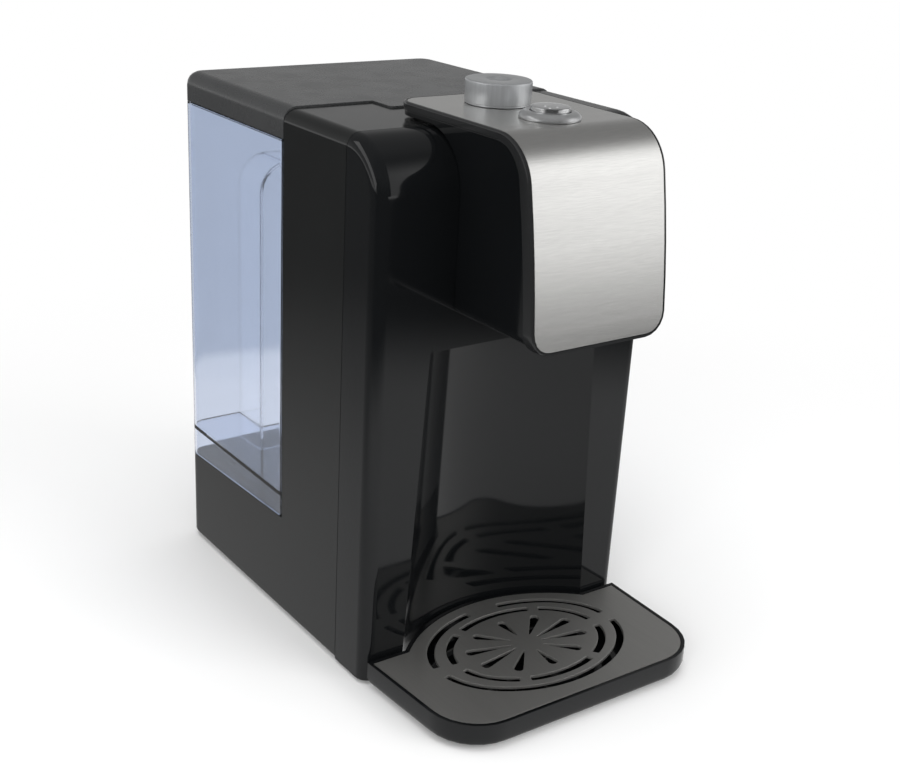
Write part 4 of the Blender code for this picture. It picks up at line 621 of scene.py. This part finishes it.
def ring_slot(half, depth, start, end, corner=0.0006):
    """Outline of a slot along an oval, its ends slightly rounded."""
    points = []
    lead = math.degrees(corner / half)
    steps = max(8, int((end - start) / 2.5))
    for side, first, last in ((1, start + lead, end - lead), (-1, end - lead, start + lead)):
        for step in range(steps + 1):
            bearing = first + (last - first) * step / steps
            points.append(oval_point(half, depth, side * RING_SLOT_WIDTH / 2, bearing))
        edge = end if side > 0 else start
        reach = RING_SLOT_WIDTH / 2 - corner
        points.append(oval_point(half, depth, side * reach, edge))
        points.append(oval_point(half, depth, -side * reach, edge))
    return points


def oval_point(half, depth, out, bearing):
    """A point outside an oval by a distance, at a bearing in degrees."""
    turn = math.radians(bearing)
    return Vector(((half + out) * math.cos(turn), RING_Y + (depth + out) * math.sin(turn)))


def drop_slot(bearing, start=0.0085, width=0.0048, tip_width=0.0006):
    """Outline of a drop-shaped slot that starts near the middle and ends round on its oval."""
    turn = math.radians(bearing)
    tip = Vector((DROP_RING[0] * math.cos(turn), DROP_RING[1] * math.sin(turn)))
    along = tip.normalized()
    across = Vector((-along.y, along.x))
    belly = tip.length - width / 2
    points = [along * start - across * tip_width / 2]
    for step in range(17):
        swing = math.pi / 2 * (2 * step / 16 - 1)
        points.append(along * belly + (across * math.sin(swing) + along * math.cos(swing)) * width / 2)
    points.append(along * start + across * tip_width / 2)
    return [point + Vector((0, RING_Y)) for point in points]


def grown(points, distance):
    """An outline moved outwards by a distance, whichever way round its points run."""
    count = len(points)
    area = sum(points[i - 1].x * points[i].y - points[i].x * points[i - 1].y for i in range(count))
    way = 1 if area > 0 else -1
    moved = []
    for index, here in enumerate(points):
        before = (here - points[index - 1]).normalized()
        after = (points[(index + 1) % count] - here).normalized()
        first = Vector((before.y, -before.x)) * way
        second = Vector((after.y, -after.x)) * way
        middle = (first + second).normalized()
        moved.append(here + middle * distance / max(0.5, middle.dot(first)))
    return moved


def build_plate(materials):
    thickness = 0.0015
    bevel = 0.00035
    rim_width = 0.0018
    gap = 0.0004
    outlines = [(tray_outline(rim_width + gap), -1)]
    for half, depth, slots in (OUTER_RING, INNER_RING):
        outlines += [(ring_slot(half, depth, start, end), 1) for start, end in slots]
    outlines += [(drop_slot(360 / DROP_COUNT * (index + 0.5)), 1) for index in range(DROP_COUNT)]
    form = bmesh.new()
    top = thickness / 2
    levels = [(0.0, -top), (0.0, top - bevel), (0.3, top - bevel * 0.3), (1.0, top)]
    rings = []
    for points, way in outlines:
        stack = []
        for share, height in levels:
            shifted = grown(points, way * bevel * share)
            stack.append([form.verts.new((p.x, p.y, height)) for p in shifted])
        for low, high in zip(stack, stack[1:]):
            for index in range(len(low)):
                following = (index + 1) % len(low)
                form.faces.new((low[index], low[following], high[following], high[index]))
        rings.append(stack)
    for level in (0, -1):
        loops = [stack[level] for stack in rings]
        flat = [vertex for loop in loops for vertex in loop]
        for a, b, c in tessellate_polygon([[vertex.co for vertex in loop] for loop in loops]):
            form.faces.new((flat[a], flat[b], flat[c]))
    plate = finished(
        "drip_plate_cut", form, materials["plate_metal"], "plate", ["drip_plate"],
        (0, 0, TRAY_HEIGHT - thickness / 2),
    )
    for face in plate.data.polygons:
        face.use_smooth = abs(face.normal.z) < 0.99
    return plate


# Stage, light and camera

def mixed(tree, kind, share, first, second):
    """Mixes two shaders, or two numbers, by a share."""
    if kind == "shader":
        mix = tree.nodes.new("ShaderNodeMixShader")
        sockets = (mix.inputs[0], mix.inputs[1], mix.inputs[2], mix.outputs[0])
    else:
        mix = tree.nodes.new("ShaderNodeMix")
        sockets = (mix.inputs[0], mix.inputs[2], mix.inputs[3], mix.outputs[0])
    for socket, source in zip(sockets, (share, first, second)):
        tree.links.new(source, socket)
    return sockets[3]


def glow(tree, kind, strength, colour=(1.0, 1.0, 1.0)):
    lamp = tree.nodes.new(kind)
    lamp.inputs["Color"].default_value = (*colour, 1)
    if isinstance(strength, float):
        lamp.inputs["Strength"].default_value = strength
    else:
        tree.links.new(strength, lamp.inputs["Strength"])
    return lamp.outputs[0]


def make_floor():
    """Pale paint near the object that fades to plain white.

    In reflections it is a table, bright near the object and far off at the front right. Through the
    tank it is white up to the table's far edge.
    """
    mesh = bpy.data.meshes.new("studio_floor")
    half = 6.0
    corners = [(-half, -half, 0), (half, -half, 0), (half, half, 0), (-half, half, 0)]
    mesh.from_pydata(corners, [], [(0, 1, 2, 3)])
    floor = bpy.data.objects.new("studio_floor", mesh)
    bpy.context.scene.collection.objects.link(floor)
    material = bpy.data.materials.new("studio_floor_white")
    material.use_nodes = True
    tree = material.node_tree
    tree.nodes.clear()
    output = tree.nodes.new("ShaderNodeOutputMaterial")
    path = tree.nodes.new("ShaderNodeLightPath").outputs
    place = tree.nodes.new("ShaderNodeTexCoord").outputs["Object"]
    reach = tree.nodes.new("ShaderNodeVectorMath")
    reach.operation = "LENGTH"
    tree.links.new(place, reach.inputs[0])
    away = reach.outputs["Value"]
    axes = tree.nodes.new("ShaderNodeSeparateXYZ")
    tree.links.new(place, axes.inputs["Vector"])
    paint = tree.nodes.new("ShaderNodeBsdfDiffuse")
    paint.inputs["Color"].default_value = (0.9, 0.9, 0.9, 1)
    white = glow(tree, "ShaderNodeEmission", 1.0)
    seen = mixed(tree, "shader", eased(tree, away, 0.2, 0.62, 0.0, 1.0), paint.outputs["BSDF"], white)
    behind = eased(tree, away, 0.15, 0.75, 0.44, 0.1)
    table = eased(tree, away, 0.4, 0.62, 0.6, 0.04)
    panel = eased(tree, away, 1.4, 3.4, 0.1, 1.08)
    panel_side = eased(tree, axes.outputs["X"], 0.25, 0.7, 0.0, 1.0)
    brighter = tree.nodes.new("ShaderNodeMath")
    brighter.operation = "MAXIMUM"
    tree.links.new(table, brighter.inputs[0])
    tree.links.new(panel, brighter.inputs[1])
    ahead = mixed(tree, "number", panel_side, table, brighter.outputs["Value"])
    front = eased(tree, axes.outputs["Y"], -0.3, 0.05, 1.0, 0.0)
    mirrored = glow(tree, "ShaderNodeEmission", mixed(tree, "number", front, behind, ahead))
    through = mixed(
        tree, "shader", eased(tree, away, 0.395, 0.425, 0.0, 1.0),
        glow(tree, "ShaderNodeEmission", 0.98), glow(tree, "ShaderNodeEmission", 1.0, WALL_BLUE),
    )
    surface = mixed(tree, "shader", path["Is Glossy Ray"], seen, mirrored)
    surface = mixed(tree, "shader", path["Is Transmission Ray"], surface, through)
    tree.links.new(surface, output.inputs["Surface"])
    mesh.materials.append(material)


def make_world():
    """White to the eye, pale blue through the tank and soft grey as light.

    In reflections it is bright at the front right and low behind, grey higher up behind, and dark
    around the camera.
    """
    world = bpy.data.worlds.new("studio")
    bpy.context.scene.world = world
    world.use_nodes = True
    tree = world.node_tree
    tree.nodes.clear()
    output = tree.nodes.new("ShaderNodeOutputWorld")
    path = tree.nodes.new("ShaderNodeLightPath").outputs
    place = tree.nodes.new("ShaderNodeTexCoord")
    axes = tree.nodes.new("ShaderNodeSeparateXYZ")
    tree.links.new(place.outputs["Generated"], axes.inputs["Vector"])
    height = axes.outputs["Z"]
    low_behind = eased(tree, height, 0.0, 0.13, 0.9, 0.35)
    high_behind = eased(tree, height, 0.13, 0.6, 0.35, 0.18)
    behind = mixed(tree, "number", eased(tree, height, 0.12, 0.14, 0.0, 1.0), low_behind, high_behind)
    dark = eased(tree, height, 0.0, 0.6, 0.04, 0.12)
    panel = eased(tree, height, 0.52, 0.82, 1.08, 0.1)
    panel_side = eased(tree, axes.outputs["X"], 0.42, 0.62, 0.0, 1.0)
    ahead = mixed(tree, "number", panel_side, dark, panel)
    front = eased(tree, axes.outputs["Y"], -0.4, 0.05, 1.0, 0.0)
    mirrored = glow(tree, "ShaderNodeBackground", mixed(tree, "number", front, behind, ahead))
    lighting = glow(tree, "ShaderNodeBackground", 0.5)
    seen = glow(tree, "ShaderNodeBackground", 1.0)
    surface = mixed(tree, "shader", path["Is Glossy Ray"], lighting, mirrored)
    wall = glow(tree, "ShaderNodeBackground", 1.0, WALL_BLUE)
    surface = mixed(tree, "shader", path["Is Transmission Ray"], surface, wall)
    surface = mixed(tree, "shader", path["Is Camera Ray"], surface, seen)
    tree.links.new(surface, output.inputs["Surface"])


def softbox(name, place, target, size, power, along=None):
    """An area light facing its target, hidden in reflections, its width along a direction if given."""
    light = bpy.data.lights.new(name, "AREA")
    light.shape = "RECTANGLE"
    light.size = size[0]
    light.size_y = size[1]
    light.energy = power
    lamp = bpy.data.objects.new(name, light)
    lamp.location = place
    aim = Vector(target) - Vector(place)
    lamp.rotation_euler = aim.to_track_quat("-Z", "Y").to_euler()
    if along:
        out = -aim.normalized()
        length = (Vector(along) - out * out.dot(Vector(along))).normalized()
        lamp.rotation_euler = Matrix((length, out.cross(length), out)).transposed().to_euler()
    lamp.visible_glossy = False
    bpy.context.scene.collection.objects.link(lamp)
    return lamp


def make_lights():
    rim = softbox(
        "rim_softbox", (-0.95, 0.22, 0.72), (-0.07, -0.04, 0.26), (1.5, 0.34), 1.7, along=(0.73, 1.24, 0.7)
    )
    rim.visible_glossy = True
    softbox("front_softbox", (0.7, -1.5, 0.9), (0, 0, 0.12), (1.2, 1.0), 14.0)
    softbox("left_softbox", (-1.2, -1.0, 0.8), (0, 0, 0.15), (0.9, 0.9), 11.0)
    softbox("top_softbox", (-0.1, 0.1, 1.9), (0, 0, 0.1), (1.6, 1.6), 17.0)


def make_camera():
    """The photograph's view, from the camera that was fitted to its edges."""
    yaw = -0.6344147
    tilt = 0.4111496
    roll = 0.0528942
    back = Vector((math.sin(yaw) * math.cos(tilt), -math.cos(yaw) * math.cos(tilt), math.sin(tilt)))
    level = Vector((math.cos(yaw), math.sin(yaw), 0))
    upright = back.cross(level)
    right = level * math.cos(roll) + upright * math.sin(roll)
    up = upright * math.cos(roll) - level * math.sin(roll)
    data = bpy.data.cameras.new("photo_camera")
    data.sensor_fit = "HORIZONTAL"
    data.sensor_width = 36.0
    data.lens = 56.585
    data.shift_x = 0.01592
    data.shift_y = 0.06667
    data.clip_start = 0.01
    data.clip_end = 50.0
    camera = bpy.data.objects.new("photo_camera", data)
    turn = Matrix((right, up, back)).transposed().to_4x4()
    camera.matrix_world = Matrix.Translation((-0.413395, -0.562381, 0.394576)) @ turn
    bpy.context.scene.collection.objects.link(camera)
    bpy.context.scene.camera = camera


def make_view():
    bpy.context.scene.view_settings.view_transform = "Standard"


def main():
    materials = make_materials()
    dress_nodes(materials)
    build_lowered("housing")
    build_lowered("fascia")
    build_spring("button_spring", True)
    build_spring("valve_spring", False)
    build_knob(materials)
    build_button(materials)
    build_dots(materials)
    build_collar(materials)
    build_plate(materials)
    make_floor()
    make_world()
    make_lights()
    make_camera()
    make_view()


main()
